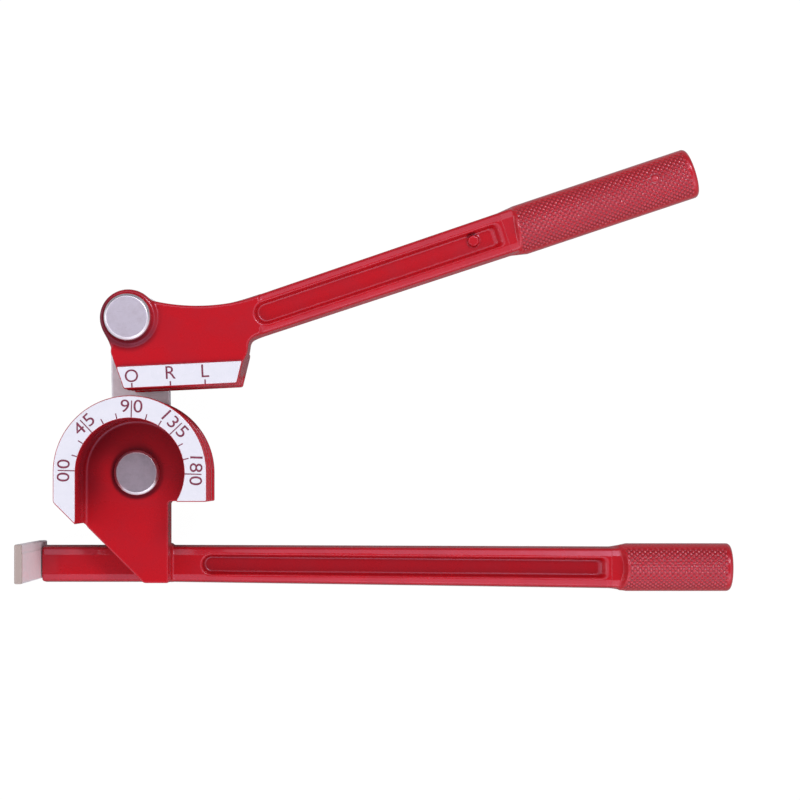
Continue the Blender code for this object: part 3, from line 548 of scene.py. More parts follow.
def into_world(points, pin, turn):
    """Points about a pin's axis, turned and carried to its place; levels stay."""
    x, y, z = np.asarray(points).T
    c, s = np.cos(turn), np.sin(turn)
    return np.stack([pin[0] + c * x - s * y, pin[1] + s * x + c * y, z], axis=1)


def turn_normals(normals, turn):
    """Directions turned about the Z axis."""
    x, y, z = normals.T
    c, s = np.cos(turn), np.sin(turn)
    return np.stack([c * x - s * y, s * x + c * y, z], axis=1)


def cast_piece(name, field, axes, pin, turn, body, surface, slot, *nodes):
    """A piece from a distance function, with its edges and hollows stored for its finish."""
    points, faces, normals = skin(field, *axes)
    edge, hollow = relief(field, points, normals)
    layers = {"edge": edge, "hollow": hollow}
    mesh = new_mesh(name, into_world(points, pin, turn), faces, turn_normals(normals, turn), layers)
    return place(name, mesh, body, surface, slot, *nodes)


def grid_faces(rows, columns, close_rows=False, close_columns=True):
    """Quads of a grid of points, closed round either way."""
    i = np.arange(rows if close_rows else rows - 1)[:, None]
    j = np.arange(columns if close_columns else columns - 1)[None, :]
    below, right = (i + 1) % rows, (j + 1) % columns
    corners = [i * columns + j, i * columns + right, below * columns + right, below * columns + j]
    return np.stack([np.broadcast_to(c, (len(i), j.shape[1])).ravel() for c in corners], axis=1)


GUARD = 1.5
CUT_SHARE = 0.3


def rounded(profile, radius, count=5):
    """A profile with each corner off the axis replaced by a curve, and a point kept near each curve's ends.

    The curve is a parabola: corner ends and corner weighted by the squares and the product of t and 1 - t.
    """
    profile = np.asarray(profile, float)
    before = np.roll(profile, 1, axis=0) - profile
    after = np.roll(profile, -1, axis=0) - profile
    first = np.linalg.norm(before, axis=1, keepdims=True)
    second = np.linalg.norm(after, axis=1, keepdims=True)
    cut = np.minimum(radius, np.minimum(first, second) * CUT_SHARE) * (profile[:, :1] > 0)
    start, end = profile + before / first * cut, profile + after / second * cut
    t = np.linspace(0, 1, count)[None, :, None]
    curve = start[:, None] * (1 - t) ** 2 + 2 * profile[:, None] * t * (1 - t) + end[:, None] * t ** 2
    guards = profile + before / first * cut * GUARD, profile + after / second * cut * GUARD
    whole = np.concatenate([guards[0][:, None], curve, guards[1][:, None]], axis=1)
    on_axis = profile[:, 0] == 0
    return np.concatenate([ring[:1] if flat else ring for ring, flat in zip(whole, on_axis)])


def lathe(profile, columns=96):
    """A profile turned once about the Z axis: radius times cosine, radius times sine, and level.

    A point on the axis is a pole, and a profile without one is closed on itself.
    """
    angle = np.linspace(0, 2 * np.pi, columns, endpoint=False)
    radius, level = profile.T
    x = radius[:, None] * np.cos(angle)
    y = radius[:, None] * np.sin(angle)
    points = np.stack([x, y, np.broadcast_to(level[:, None], x.shape)], axis=2).reshape(-1, 3)
    closed = radius.min() > 0
    faces = grid_faces(len(profile), columns, close_rows=closed)
    rows = faces // columns
    return points, np.where(radius[rows] == 0, rows * columns, faces)


# Finishes
def node(tree, kind, inputs=None, **settings):
    """A shader node with its settings, and each input given a value or joined to another node's output."""
    made = tree.nodes.new("ShaderNode" + kind)
    for key, value in settings.items():
        setattr(made, key, value)
    for key, value in (inputs or {}).items():
        if isinstance(value, bpy.types.NodeSocket):
            tree.links.new(value, made.inputs[key])
        else:
            made.inputs[key].default_value = value
    return made


def ramp(tree, value, low, high, out_low=0.0, out_high=1.0):
    """A value carried smoothly from one range to another."""
    ranges = {"Value": value, "From Min": low, "From Max": high, "To Min": out_low, "To Max": out_high}
    return node(tree, "MapRange", ranges, interpolation_type="SMOOTHSTEP").outputs["Result"]


def blend(tree, share, first, second):
    """One colour passing into another."""
    return node(tree, "Mix", {0: share, 6: first, 7: second}, data_type="RGBA").outputs[2]


def maths(tree, operation, first, second=0.0):
    """A sum, product or comparison of two values."""
    return node(tree, "Math", {0: first, 1: second}, operation=operation).outputs[0]


def vectors(tree, operation, first, second, output="Vector"):
    """The same for two places or directions."""
    return node(tree, "VectorMath", {0: first, 1: second}, operation=operation).outputs[output]


def noise(tree, place, scale, detail=2.0, roughness=0.5):
    """A cloudy pattern, finer at a larger scale."""
    inputs = {"Vector": place, "Scale": scale, "Detail": detail, "Roughness": roughness}
    return node(tree, "TexNoise", inputs).outputs["Fac"]


def object_place(tree):
    """Object coordinates."""
    return node(tree, "TexCoord").outputs["Object"]


def split_place(tree):
    """Object coordinates as X, Y and Z."""
    return node(tree, "SeparateXYZ", {"Vector": object_place(tree)}).outputs


def new_group(name, inputs, outputs):
    """A shader group with inputs for numbers, places or colours, and outputs for values and a colour."""
    tree = bpy.data.node_groups.new(name, "ShaderNodeTree")
    kinds = {1: "NodeSocketFloat", 3: "NodeSocketVector", 4: "NodeSocketColor"}
    for title, value in inputs.items():
        socket = tree.interface.new_socket(title, in_out="INPUT", socket_type=kinds[np.size(value)])
        socket.default_value = value
    for title in outputs:
        kind = kinds[4 if title == "Colour" else 1]
        tree.interface.new_socket(title, in_out="OUTPUT", socket_type=kind)
    return tree, tree.nodes.new("NodeGroupInput").outputs


def give(tree, **values):
    """Join values to a group's outputs."""
    out = tree.nodes.new("NodeGroupOutput").inputs
    for title, value in values.items():
        tree.links.new(value, out[title])
    return tree


def use(tree, group, **inputs):
    """A shader group placed in a material, or in another group, with its own values."""
    made = tree.nodes.new("ShaderNodeGroup")
    made.node_tree = group
    for key, value in inputs.items():
        if isinstance(value, bpy.types.NodeSocket):
            tree.links.new(value, made.inputs[key])
        else:
            made.inputs[key].default_value = value
    return made.outputs


RED = (0.480, 0.0055, 0.0105, 1)
# Deeper red: thicker paint in random patches, and painted shade in hollows
RED_THICK_AND_SHADE = (0.250, 0.0035, 0.0070, 1)
# Lighter red: thin paint on edges, and a painted highlight on edges and knurl crests
RED_THIN_AND_SHEEN = (0.600, 0.0300, 0.0450, 1)
# Dark red for painted shade round the pin heads, in the pocket and in the bar's channels
RED_SHADE = (0.130, 0.0030, 0.0060, 1)
WHITE = (0.730, 0.745, 0.790, 1)
WHITE_CHALKY = (0.66, 0.69, 0.74, 1)
INK = (0.150, 0.012, 0.040, 1)
INK_THIN = (0.27, 0.06, 0.10, 1)
RIM_BRIGHT = (0.80, 0.78, 0.82, 1)
# Darker brownish grey for the stop's end face
END_GREY = (0.42, 0.345, 0.31, 1)
HEAD_RADIUS = PIN_HEAD_DIAMETER / 2
# Depth and widths of the painted shadow round the pin heads
SHADE_DEPTH = 0.0016
MAIN_PIN_SHADE = 0.0022
LEVER_PIN_SHADE = 0.0046
PLATE_WHITE_LINE = -0.0140
FACE_BLEND = (0.00016, 0.00005)
LINE_BLEND = 0.0002
RIM_BLEND = (0.0011, 0.0008)
RING_TURNS = 15000.0
END_GREY_BLEND = (0.0010, 0.0003)
PAINT_RELIEF = 0.00035
PLATE_RELIEF = 0.00006
MAIN_AXIS = (MAIN_PIN[0], MAIN_PIN[1], 0)
LEVER_AXIS = (LEVER_PIN[0], LEVER_PIN[1], 0)
FAR = -1.0


def make_red_film():
    """Red enamel over a casting: thin and lighter on edges, with a painted highlight; pooled and darker in
    corners, with painted shade; waved as the casting is, with orange peel.
    """
    tree, given = new_group(
        "red_film", {"Wave Scale": 90.0, "Peel Scale": 700.0}, ("Colour", "Roughness", "Height"))
    place = object_place(tree)
    edge = node(tree, "Attribute", attribute_name="edge").outputs["Fac"]
    hollow = node(tree, "Attribute", attribute_name="hollow").outputs["Fac"]
    patches = ramp(tree, noise(tree, place, 260.0, 3.0), 0.35, 0.70, 0.25, 1.0)
    # Lighter on edges and knurl crests: thin paint, and a painted highlight
    thin_and_sheen = maths(tree, "MULTIPLY", ramp(tree, edge, 0.20, 0.75), patches)
    tone = noise(tree, place, given["Wave Scale"], 3.0, 0.55)
    # Darker in hollows and the knurl's grooves: pooled paint, and painted shade
    colour = blend(tree, ramp(tree, hollow, 0.12, 0.85), RED, RED_THICK_AND_SHADE)
    colour = blend(tree, maths(tree, "MULTIPLY", thin_and_sheen, 0.45), colour, RED_THIN_AND_SHEEN)
    colour = blend(tree, ramp(tree, tone, 0.30, 0.70, 0.0, 0.22), colour, RED_THICK_AND_SHADE)
    peel = maths(tree, "MULTIPLY", noise(tree, place, given["Peel Scale"], 2.0), 0.10)
    height = maths(tree, "ADD", noise(tree, place, given["Wave Scale"], 1.0), peel)
    return give(tree, Colour=colour, Roughness=ramp(tree, tone, 0.3, 0.7, 0.24, 0.32), Height=height)


def make_pin_reach():
    """Distance of a place from a pin's axis; an offset below a least value counts as that value."""
    tree, given = new_group("pin_reach", {"Pin": (0, 0, 0), "Least": (FAR, FAR, FAR)}, ("Reach",))
    about = vectors(tree, "SUBTRACT", object_place(tree), given["Pin"])
    about = vectors(tree, "MAXIMUM", about, given["Least"])
    flat = vectors(tree, "MULTIPLY", about, (1, 1, 0))
    return give(tree, Reach=vectors(tree, "LENGTH", flat, (0, 0, 0), "Value"))


def make_pin_shade():
    """Painted shadow of a pin's head round it, near the level of its seat, and less on the side of the light."""
    tree, given = new_group("pin_shade", {"Pin": (0, 0, 0), "Seat": 0.0, "Width": MAIN_PIN_SHADE}, ("Dirt",))
    reach = use(tree, PIN_REACH, Pin=given["Pin"])["Reach"]
    off_seat = maths(tree, "ABSOLUTE", maths(tree, "SUBTRACT", split_place(tree)["Z"], given["Seat"]))
    outer = maths(tree, "ADD", given["Width"], HEAD_RADIUS)
    inner = maths(tree, "ADD", maths(tree, "DIVIDE", given["Width"], 3.0), HEAD_RADIUS)
    near_seat = maths(tree, "LESS_THAN", off_seat, SHADE_DEPTH)
    ring = maths(tree, "MULTIPLY", ramp(tree, reach, outer, inner), near_seat)
    about = vectors(tree, "SUBTRACT", object_place(tree), given["Pin"])
    lit_side = vectors(tree, "DOT_PRODUCT", about, (0.6, 0.8, 0), "Value")
    return give(tree, Dirt=maths(tree, "MULTIPLY", ring, ramp(tree, lit_side, -0.003, 0.007, 0.95, 0.30)))


def make_scale_white():
    """White enamel, a little chalky, on a casting's foremost level, on one side of a line across it."""
    tree, given = new_group(
        "scale_white", {"Pin": (0, 0, 0), "Across": (0, 1, 0), "Line": -FAR}, ("Mask", "Colour"))
    flat = ramp(tree, split_place(tree)["Z"], SCALE_LEVEL - FACE_BLEND[0], SCALE_LEVEL - FACE_BLEND[1])
    about = vectors(tree, "SUBTRACT", object_place(tree), given["Pin"])
    height = vectors(tree, "DOT_PRODUCT", about, given["Across"], "Value")
    side = ramp(tree, height, given["Line"], maths(tree, "SUBTRACT", given["Line"], LINE_BLEND))
    chalk = ramp(tree, noise(tree, object_place(tree), 300.0, 3.0), 0.35, 0.75, 0.0, 0.35)
    return give(tree, Mask=maths(tree, "MULTIPLY", flat, side), Colour=blend(tree, chalk, WHITE, WHITE_CHALKY))


def make_worn_plate():
    """Worn plating: blotches from a bright to a dull colour, darker small scratches, and a fine grain."""
    tree, given = new_group(
        "worn_plate", {"Bright": RIM_BRIGHT, "Dull": RIM_BRIGHT, "Scratch": 0.3, "Dullness": 0.4},
        ("Colour", "Roughness", "Height"))
    place = object_place(tree)
    blotch = noise(tree, place, 220.0, 4.0, 0.6)
    stretched = node(tree, "Mapping", {"Vector": place, "Rotation": (0.3, 0.2, 0.7), "Scale": (1.0, 14.0, 5.0)})
    lines = ramp(tree, noise(tree, stretched.outputs[0], 420.0, 2.0, 0.5), 0.66, 0.72)
    colour = blend(tree, ramp(tree, blotch, 0.35, 0.70), given["Bright"], given["Dull"])
    darker = vectors(tree, "MULTIPLY", given["Dull"], (0.6, 0.6, 0.6))
    colour = blend(tree, maths(tree, "MULTIPLY", lines, given["Scratch"]), colour, darker)
    smoothest = maths(tree, "MULTIPLY", given["Dullness"], 0.85)
    roughest = maths(tree, "MULTIPLY", given["Dullness"], 1.2)
    height = maths(tree, "MULTIPLY", noise(tree, place, 2500.0, 3.0, 0.6), 0.6)
    return give(tree, Colour=colour, Roughness=ramp(tree, blotch, 0.3, 0.7, smoothest, roughest), Height=height)


def make_turned_head():
    """A turned pin head: rings as high as the sine of the distance from its axis, and a bright rim."""
    tree, given = new_group("turned_head", {"Pin": (0, 0, 0)}, ("Rim", "Rings"))
    reach = use(tree, PIN_REACH, Pin=given["Pin"])["Reach"]
    rings = maths(tree, "SINE", maths(tree, "MULTIPLY", reach, RING_TURNS))
    rim = ramp(tree, reach, HEAD_RADIUS - RIM_BLEND[0], HEAD_RADIUS - RIM_BLEND[1])
    return give(tree, Rim=rim, Rings=maths(tree, "MULTIPLY", rings, 0.25))


PIN_REACH = make_pin_reach()
RED_FILM = make_red_film()
PIN_SHADE = make_pin_shade()
SCALE_WHITE = make_scale_white()
WORN_PLATE = make_worn_plate()
TURNED_HEAD = make_turned_head()


def new_material(name):
    """A material with its node tree and its Principled shader."""
    surface = bpy.data.materials.new(name)
    surface.use_nodes = True
    return surface, surface.node_tree, surface.node_tree.nodes["Principled BSDF"]


def put_bump(tree, shader, height, strength, distance):
    """Small relief of a finish."""
    bump = node(tree, "Bump", {"Height": height, "Strength": strength, "Distance": distance})
    tree.links.new(bump.outputs[0], shader.inputs["Normal"])


def casting_shade(tree):
    """Painted shade towards the pocket's round wall, deep in it and more on its left, and in the bar's channels.
    """
    split = split_place(tree)
    reach = use(tree, PIN_REACH, Pin=MAIN_AXIS, Least=(FAR, 0, FAR))["Reach"]
    wall = ramp(tree, reach, POCKET_RADIUS * 0.45, POCKET_RADIUS * 0.95)
    open_side = ramp(tree, split["Y"], MAIN_PIN[1] - 0.0200, MAIN_PIN[1] - 0.0020)
    deep = ramp(tree, split["Z"], SCALE_LEVEL - 0.0010, SCALE_LEVEL - 0.0120)
    inside = maths(tree, "LESS_THAN", reach, POCKET_RADIUS + 0.0004)
    wall = maths(tree, "MULTIPLY", wall, open_side)
    shade = maths(tree, "MULTIPLY", wall, maths(tree, "MULTIPLY", deep, inside))
    share = ramp(tree, split["X"], MAIN_PIN[0] - 0.0120, MAIN_PIN[0] + 0.0060, 0.70, 0.30)
    floor = ramp(tree, split["Z"], BAR_THICKNESS - 0.0012, BAR_THICKNESS - 0.0026, 0.0, 0.38)
    in_bar = maths(tree, "LESS_THAN", split["Y"], MAIN_PIN[1] - BAR_NEAR_DROP / 2)
    trough = maths(tree, "MULTIPLY", floor, in_bar)
    return maths(tree, "MAXIMUM", trough, maths(tree, "MULTIPLY", shade, share))


def enamel(name, coat, scale=None, head_shade=None, shaded_pocket=False):
    """Glossy red enamel on a casting, with white enamel and painted shade where they are given."""
    surface, tree, shader = new_material(name)
    film = use(tree, RED_FILM)
    colour = film["Colour"]
    shader.inputs["Coat Weight"].default_value = coat
    if scale:
        white = use(tree, SCALE_WHITE, **scale)
        colour = blend(tree, white["Mask"], colour, white["Colour"])
    if head_shade:
        # Painted shade, with less coat where it lies
        painted_shade = use(tree, PIN_SHADE, **head_shade)["Dirt"]
        if shaded_pocket:
            painted_shade = maths(tree, "MAXIMUM", painted_shade, casting_shade(tree))
        colour = blend(tree, painted_shade, colour, RED_SHADE)
        tree.links.new(ramp(tree, painted_shade, 0.0, 1.0, coat, 0.0), shader.inputs["Coat Weight"])
    tree.links.new(colour, shader.inputs["Base Color"])
    tree.links.new(film["Roughness"], shader.inputs["Roughness"])
    shader.inputs["Specular IOR Level"].default_value = 0.42
    shader.inputs["Specular Tint"].default_value = (1.0, 0.66, 1.0, 1)
    shader.inputs["Coat Roughness"].default_value = 0.08
    put_bump(tree, shader, film["Height"], 0.35, PAINT_RELIEF)
    return surface


def steel(name, bright, dull, dullness, scratch=0.3, metallic=1.0, head_axis=None, grey_end_level=None):
    """Plated steel, with turning marks and a bright rim about an axis, or a darker brownish grey end at a level.
    """
    surface, tree, shader = new_material(name)
    plate = use(tree, WORN_PLATE, Bright=(*bright, 1), Dull=(*dull, 1), Scratch=scratch, Dullness=dullness)
    colour, height = plate["Colour"], plate["Height"]
    shader.inputs["Metallic"].default_value = metallic
    if grey_end_level:
        # Darker brownish grey above a level, on the end face
        level = split_place(tree)["Z"]
        grey_end = ramp(tree, level, grey_end_level - END_GREY_BLEND[0], grey_end_level - END_GREY_BLEND[1])
        colour = blend(tree, grey_end, colour, END_GREY)
    if head_axis:
        head = use(tree, TURNED_HEAD, Pin=head_axis)
        colour = blend(tree, head["Rim"], colour, RIM_BRIGHT)
        tree.links.new(ramp(tree, head["Rim"], 0.0, 1.0, metallic, 1.0), shader.inputs["Metallic"])
        height = maths(tree, "ADD", height, head["Rings"])
    tree.links.new(colour, shader.inputs["Base Color"])
    tree.links.new(plate["Roughness"], shader.inputs["Roughness"])
    put_bump(tree, shader, height, 0.25, PLATE_RELIEF)
    return surface


def ink():
    """Dark wine-coloured ink, a little uneven."""
    surface, tree, shader = new_material("scale_ink")
    speckle = ramp(tree, noise(tree, object_place(tree), 1800.0, 3.0), 0.40, 0.75)
    tree.links.new(blend(tree, speckle, INK, INK_THIN), shader.inputs["Base Color"])
    shader.inputs["Roughness"].default_value = 0.5
    return surface


lever_across = (-np.sin(SHOE_TILT), np.cos(SHOE_TILT), 0)
# Painted shade round both pins' heads, and in the handle's pocket and bar channels
handle_paint = enamel("handle_enamel", 0.35, {"Pin": MAIN_AXIS},
                      {"Pin": MAIN_AXIS, "Seat": WEB_LEVEL, "Width": MAIN_PIN_SHADE}, shaded_pocket=True)
lever_paint = enamel("lever_enamel", 0.35,
                     {"Pin": LEVER_AXIS, "Across": lever_across, "Line": PLATE_WHITE_LINE},
                     {"Pin": LEVER_AXIS, "Seat": SCALE_LEVEL, "Width": LEVER_PIN_SHADE})
grip_paint = enamel("grip_enamel", 0.6)
pin_finish = {
    # The main pin's head sits in the pocket, so it gets a darker copy of the lever pin's steel: painted shade
    "former_pin": steel("former_pin_shaded_steel", (0.50, 0.44, 0.51), (0.35, 0.31, 0.36), 0.34,
                        metallic=0.6, head_axis=MAIN_AXIS),
    "lever_pin": steel("lever_pin_steel", (0.62, 0.58, 0.67), (0.50, 0.46, 0.53), 0.36,
                       metallic=0.4, head_axis=LEVER_AXIS),
}
link_finish = steel("link_strip", (0.93, 0.94, 0.96), (0.82, 0.83, 0.85), 0.40, metallic=0.05)
stop_finish = steel("stop_strip", (0.96, 0.97, 0.98), (0.90, 0.91, 0.92), 0.34, metallic=0.05,
                    grey_end_level=STOP_RISE)
screw_finish = steel("screw_steel", (0.34, 0.34, 0.36), (0.22, 0.22, 0.23), 0.40)
washer_finish = steel("washer_zinc", (0.62, 0.62, 0.60), (0.45, 0.45, 0.45), 0.38)
spring_finish = steel("spring_dark", (0.16, 0.155, 0.15), (0.09, 0.085, 0.08), 0.42)
bronze_finish = steel("bush_bronze", (0.52, 0.32, 0.13), (0.36, 0.20, 0.08), 0.45, scratch=0.15)
ink_finish = ink()


# Castings, on grids that are fine where there is detail: stretches of start, end and step
FINE = 0.0005
COARSE = 0.0014
LEVEL_FINE = 0.0003
LEVEL_SEAT = 0.0004
LEVEL_PLAIN = 0.0006

handle_axes = (
    stations((-0.0376, 0.0400, FINE), (0.0400, 0.1600, COARSE), (0.1600, 0.1717, FINE)),
    stations((-0.0428, 0.0276, FINE)),
    stations((-0.0006, 0.0006, LEVEL_FINE), (0.0006, 0.0125, LEVEL_PLAIN), (0.0125, 0.0145, LEVEL_FINE),
             (0.0145, 0.0250, LEVEL_PLAIN), (0.0250, 0.0275, LEVEL_SEAT), (0.0275, 0.0463, LEVEL_PLAIN),
             (0.0463, 0.0481, LEVEL_FINE)),
)
cast_piece("handle_casting", handle_field, handle_axes, MAIN_PIN, 0, "former", handle_paint,
           "red_enamel", "former_handle")

lever_axes = (
    stations((-0.0110, 0.0480, FINE), (0.0480, 0.1180, COARSE), (0.1180, 0.1352, FINE)),
    stations((-0.0252, 0.0120, FINE), (0.0120, 0.0360, FINE * 1.2)),
    stations((0.0129, 0.0149, LEVEL_FINE), (0.0149, 0.0318, LEVEL_PLAIN), (0.0318, 0.0338, LEVEL_SEAT),
             (0.0338, 0.0455, LEVEL_PLAIN), (0.0455, 0.0490, LEVEL_FINE)),
)
cast_piece("lever_casting", lever_field, lever_axes, LEVER_PIN, SHOE_TILT, "lever", lever_paint,
           "red_enamel_lever", "forming_lever")


# Grips
KNURL_STARTS = 28
KNURL_PITCH = 0.00195
KNURL_DEPTH = 0.00037
KNURL_SAMPLES = 9
KNURL_SOFTNESS = 0.16
KNURL_CREST = 1.12
KNURL_FADE = 0.0010
KNURL_SIDE_START = -0.0030
KNURL_STOP = (0.0020, 0.0034)
PARTING_UPPER = (0.93, 0.70)
PARTING_LOWER = (-0.99, -0.86)
REAR_FADE = (0.10, 0.45)
GRIP_EDGE = 0.0016
GRIP_CROWN = 0.0006
GRIP_OUTSET = 0.00003
GRIP_INSET = 0.00002
GRIP_SINK = 0.0002
NECK_FIRST = 0.00005
NECK_SHORT = 0.0014
NECK_LINES = ((0.0003 - NECK_LENGTH, -0.0042, 0.0003), (-0.0042, -0.0002, 0.00016))
FRONT_SHARES = (0.0, 0.35)
LAND_BOW_POWER = 2.5
PIP_RADIUS = 0.0015
PIP_CLEAR = 0.0006
PIP_DEPTH = 0.0004
PIP_WIDTH = 0.00035
ARM_SEARCH = 0.014
HALVINGS = 30


def smooth(value, low, high):
    """Share from 0 to 1 between two values, with level ends: three squares of it less two cubes."""
    share = np.clip((value - low) / (high - low), 0, 1)
    return share * share * (3 - 2 * share)


def arm_reach(angle, drop, half_depth, half_height, shift):
    """Distance from the grip's axis to the arm's surface at each angle, found by halving an interval."""
    low, high = np.zeros_like(angle), np.full_like(angle, ARM_SEARCH)
    for _ in range(HALVINGS):
        half_way = (low + high) / 2
        across, level = half_way * np.sin(angle) - shift, half_way * np.cos(angle) + drop
        within = arm_section(across, level, half_height, half_depth) < 0
        low, high = np.where(within, half_way, low), np.where(within, high, half_way)
    return low


def knurl(angle, s):
    """Two crossing families of soft helical cosines, with as many starts as the knurl has."""
    around = KNURL_STARTS * angle / (2 * np.pi)
    return [np.hypot(np.cos(np.pi * (around + way * s / KNURL_PITCH)), KNURL_SOFTNESS) for way in (1, -1)]


def grip_piece(name, length, start, levels, arm_shape, land, pin, turn, body, slot, pip=None):
    """Neck and knurled grip as one grid of angle and place along the grip's axis.

    The radius passes from the arm's section to the grip's circle. On the front it does so past the end of the
    land, a flat that runs on from the arm's face; land gives its end at the middle, how far its end bows back at
    the sides, its run-out and its tilt. The grooves lower the round part by the knurl's depth times what the
    product of the two cosines leaves out, and fade at the parting line. A pip is a round dip's bell curve.
    """
    arm_level, level = levels
    radius = GRIP_DIAMETER / 2 - GRIP_INSET
    columns = KNURL_STARTS * KNURL_SAMPLES
    angle = np.linspace(0, 2 * np.pi, columns, endpoint=False)[None, :]
    body_end = length - GRIP_EDGE - GRIP_CROWN
    along = stations(*NECK_LINES, (NECK_LINES[-1][1], body_end, KNURL_PITCH / KNURL_SAMPLES))
    rim = np.linspace(0, np.pi / 2, 9)[1:]
    crown = np.linspace(1, 0, 7)[1:]
    flat = radius - GRIP_EDGE
    turned = np.concatenate([flat + GRIP_EDGE * np.cos(rim), flat * crown])
    turned_along = np.concatenate([
        body_end + GRIP_EDGE * np.sin(rim), body_end + GRIP_EDGE + GRIP_CROWN * (1 - crown ** 2),
    ])

    s = along[:, None]
    across, rise = np.sin(angle), np.cos(angle)
    front = smooth(rise, *FRONT_SHARES)
    arm = arm_reach(angle, level - arm_level, *arm_shape) + GRIP_OUTSET
    land_end = land[0] - land[1] * np.abs(across) ** LAND_BOW_POWER + land[3] * across
    on_sides = np.clip((s + NECK_LENGTH) / (NECK_LENGTH - NECK_SHORT), 0, 1)
    on_front = smooth(s, land_end - land[2], land_end)
    share = on_sides + (on_front - on_sides) * front
    r = arm + (radius - arm) * share

    first, second = knurl(angle, s)
    knurl_start = land_end * front + (1 - front) * KNURL_SIDE_START
    fade = smooth(s, knurl_start, knurl_start + KNURL_FADE)
    fade = fade * smooth(s, length - KNURL_STOP[0], length - KNURL_STOP[1])
    fade = fade * smooth(across, *PARTING_UPPER) * smooth(across, *PARTING_LOWER)
    fade = np.where(rise < 0, smooth(np.abs(rise), *REAR_FADE) * fade, fade)
    dip = np.zeros_like(r)
    if pip:
        off = np.hypot(s - pip[0], radius * across - pip[1]) + length * (rise < 0)
        fade = fade * smooth(off, PIP_RADIUS, PIP_RADIUS + PIP_CLEAR)
        dip = PIP_DEPTH * np.exp(-((off - PIP_RADIUS) / PIP_WIDTH) ** 2)
    groove = np.maximum(1 - KNURL_CREST * first * second, 0) * fade
    r = r - KNURL_DEPTH * groove - dip

    ends = np.ones((1, columns))
    r = np.concatenate([0 * ends, arm - GRIP_SINK, arm, r, turned[:, None] * ends])
    s = np.concatenate([[-NECK_LENGTH, -NECK_LENGTH, NECK_FIRST - NECK_LENGTH], along, turned_along])[:, None]
    height = np.maximum(level + r * rise, 0)
    points = np.stack([np.broadcast_to(start[0] + s, r.shape), start[1] + r * across, height], axis=2)
    rows = len(s)
    faces = grid_faces(rows, columns)[:, ::-1]
    faces = np.where(faces < columns, 0, faces)
    faces = np.where(faces >= (rows - 1) * columns, (rows - 1) * columns, faces)
    hollow, edge = np.zeros(r.shape), np.zeros(r.shape)
    body_rows = slice(len(s) - len(turned_along) - len(along), len(s) - len(turned_along))
    # Painted shade in the knurl's grooves and round the pip, and a painted highlight on the crests, for the red
    # film
    hollow[body_rows] = groove * 0.85 + dip / (PIP_DEPTH * 1.5)
    edge[body_rows] = (first * second) ** 3 * fade * 0.9
    layers = {"hollow": hollow.ravel(), "edge": edge.ravel()}
    mesh = new_mesh(name, into_world(points.reshape(-1, 3), pin, turn), faces, None, layers)
    return place(name, mesh, body, grip_paint, slot)


grip_piece("handle_grip", BAR_GRIP_LENGTH, (BAR_SHOULDER + NECK_LENGTH, -BAR_GRIP_DROP),
           (BAR_THICKNESS / 2, GRIP_DIAMETER / 2),
           (BAR_THICKNESS / 2, BAR_FAR_HEIGHT / 2, BAR_GRIP_DROP - BAR_FAR_DROP),
           (-0.0013, 0.0026, 0.0014, 0), MAIN_PIN, 0, "former", "red_enamel")
grip_piece("lever_grip", LEVER_GRIP_LENGTH, (ARM_SHOULDER + NECK_LENGTH, -ARM_GRIP_OFFSET),
           (ARM_MIDDLE, ARM_MIDDLE),
           (PLATE_THICKNESS / 2 - SEAT_GAP, ARM_FAR_HEIGHT / 2, ARM_GRIP_OFFSET - ARM_OFFSET),
           (-0.0024, 0.0004, 0.0012, 0.0012), LEVER_PIN, SHOE_TILT + ARM_RAKE, "lever", "red_enamel_lever",
           pip=(0.0477, 0.00135))


# Pins, bushes, washers and rings
PIN_CHAMFER = 0.0008
HEAD_CHAMFER = 0.0009
HEAD_CROWN = 0.00012
TURNED_EDGE = 0.0003
WASHER_EDGE = 0.00015
WAVE_EDGE = 0.00012
STAMPED_EDGE = 0.0002
LUG_FILLET = 0.0004
SHARP_EDGE = 0.0001
LINK_EDGE = 0.0005


def turned_piece(name, profile, edge, pin, body, surface, slot):
    """A lathe-turned part: a profile with rounded corners, turned about a pin's axis."""
    points, faces = lathe(rounded(profile, edge))
    mesh = new_mesh(name, into_world(points, pin, 0), faces)
    return place(name, mesh, body, surface, slot, name)


def washer_profile(inner, outer, low, high):
    """Four corners of a ring's section, as radius and level."""
    return [(inner, low), (outer, low), (outer, high), (inner, high)]


pin_radius = PIN_DIAMETER / 2
bore_radius = pin_radius + SEAT_GAP
bush_radius = bore_radius + BUSH_WALL
ring_seat = pin_radius - RING_GROOVE_DEPTH
for pin_name, pin, seat in (("former_pin", MAIN_PIN, WEB_LEVEL), ("lever_pin", LEVER_PIN, SCALE_LEVEL)):
    low = seat + SEAT_GAP
    top = low + PIN_HEAD_THICKNESS
    pin_profile = [
        (0, 0),
        (pin_radius - PIN_CHAMFER, 0),
        (pin_radius, PIN_CHAMFER),
        (pin_radius, RING_REAR - SEAT_GAP),
        (ring_seat, RING_REAR - SEAT_GAP),
        (ring_seat, RING_FRONT + SEAT_GAP),
        (pin_radius, RING_FRONT + SEAT_GAP),
        (pin_radius, low),
        (HEAD_RADIUS, low),
        (HEAD_RADIUS, top - HEAD_CHAMFER),
        (HEAD_RADIUS - HEAD_CHAMFER, top - HEAD_CROWN),
        (0, top),
    ]
    turned_piece(pin_name, pin_profile, TURNED_EDGE, pin, "link", pin_finish[pin_name], "pin_steel")
    washer = washer_profile(bore_radius, WASHER_DIAMETER / 2, WASHER_REAR, WASHER_FRONT)
    turned_piece(f"{pin_name}_washer", washer, WASHER_EDGE, pin, "link", washer_finish, "washer_steel")

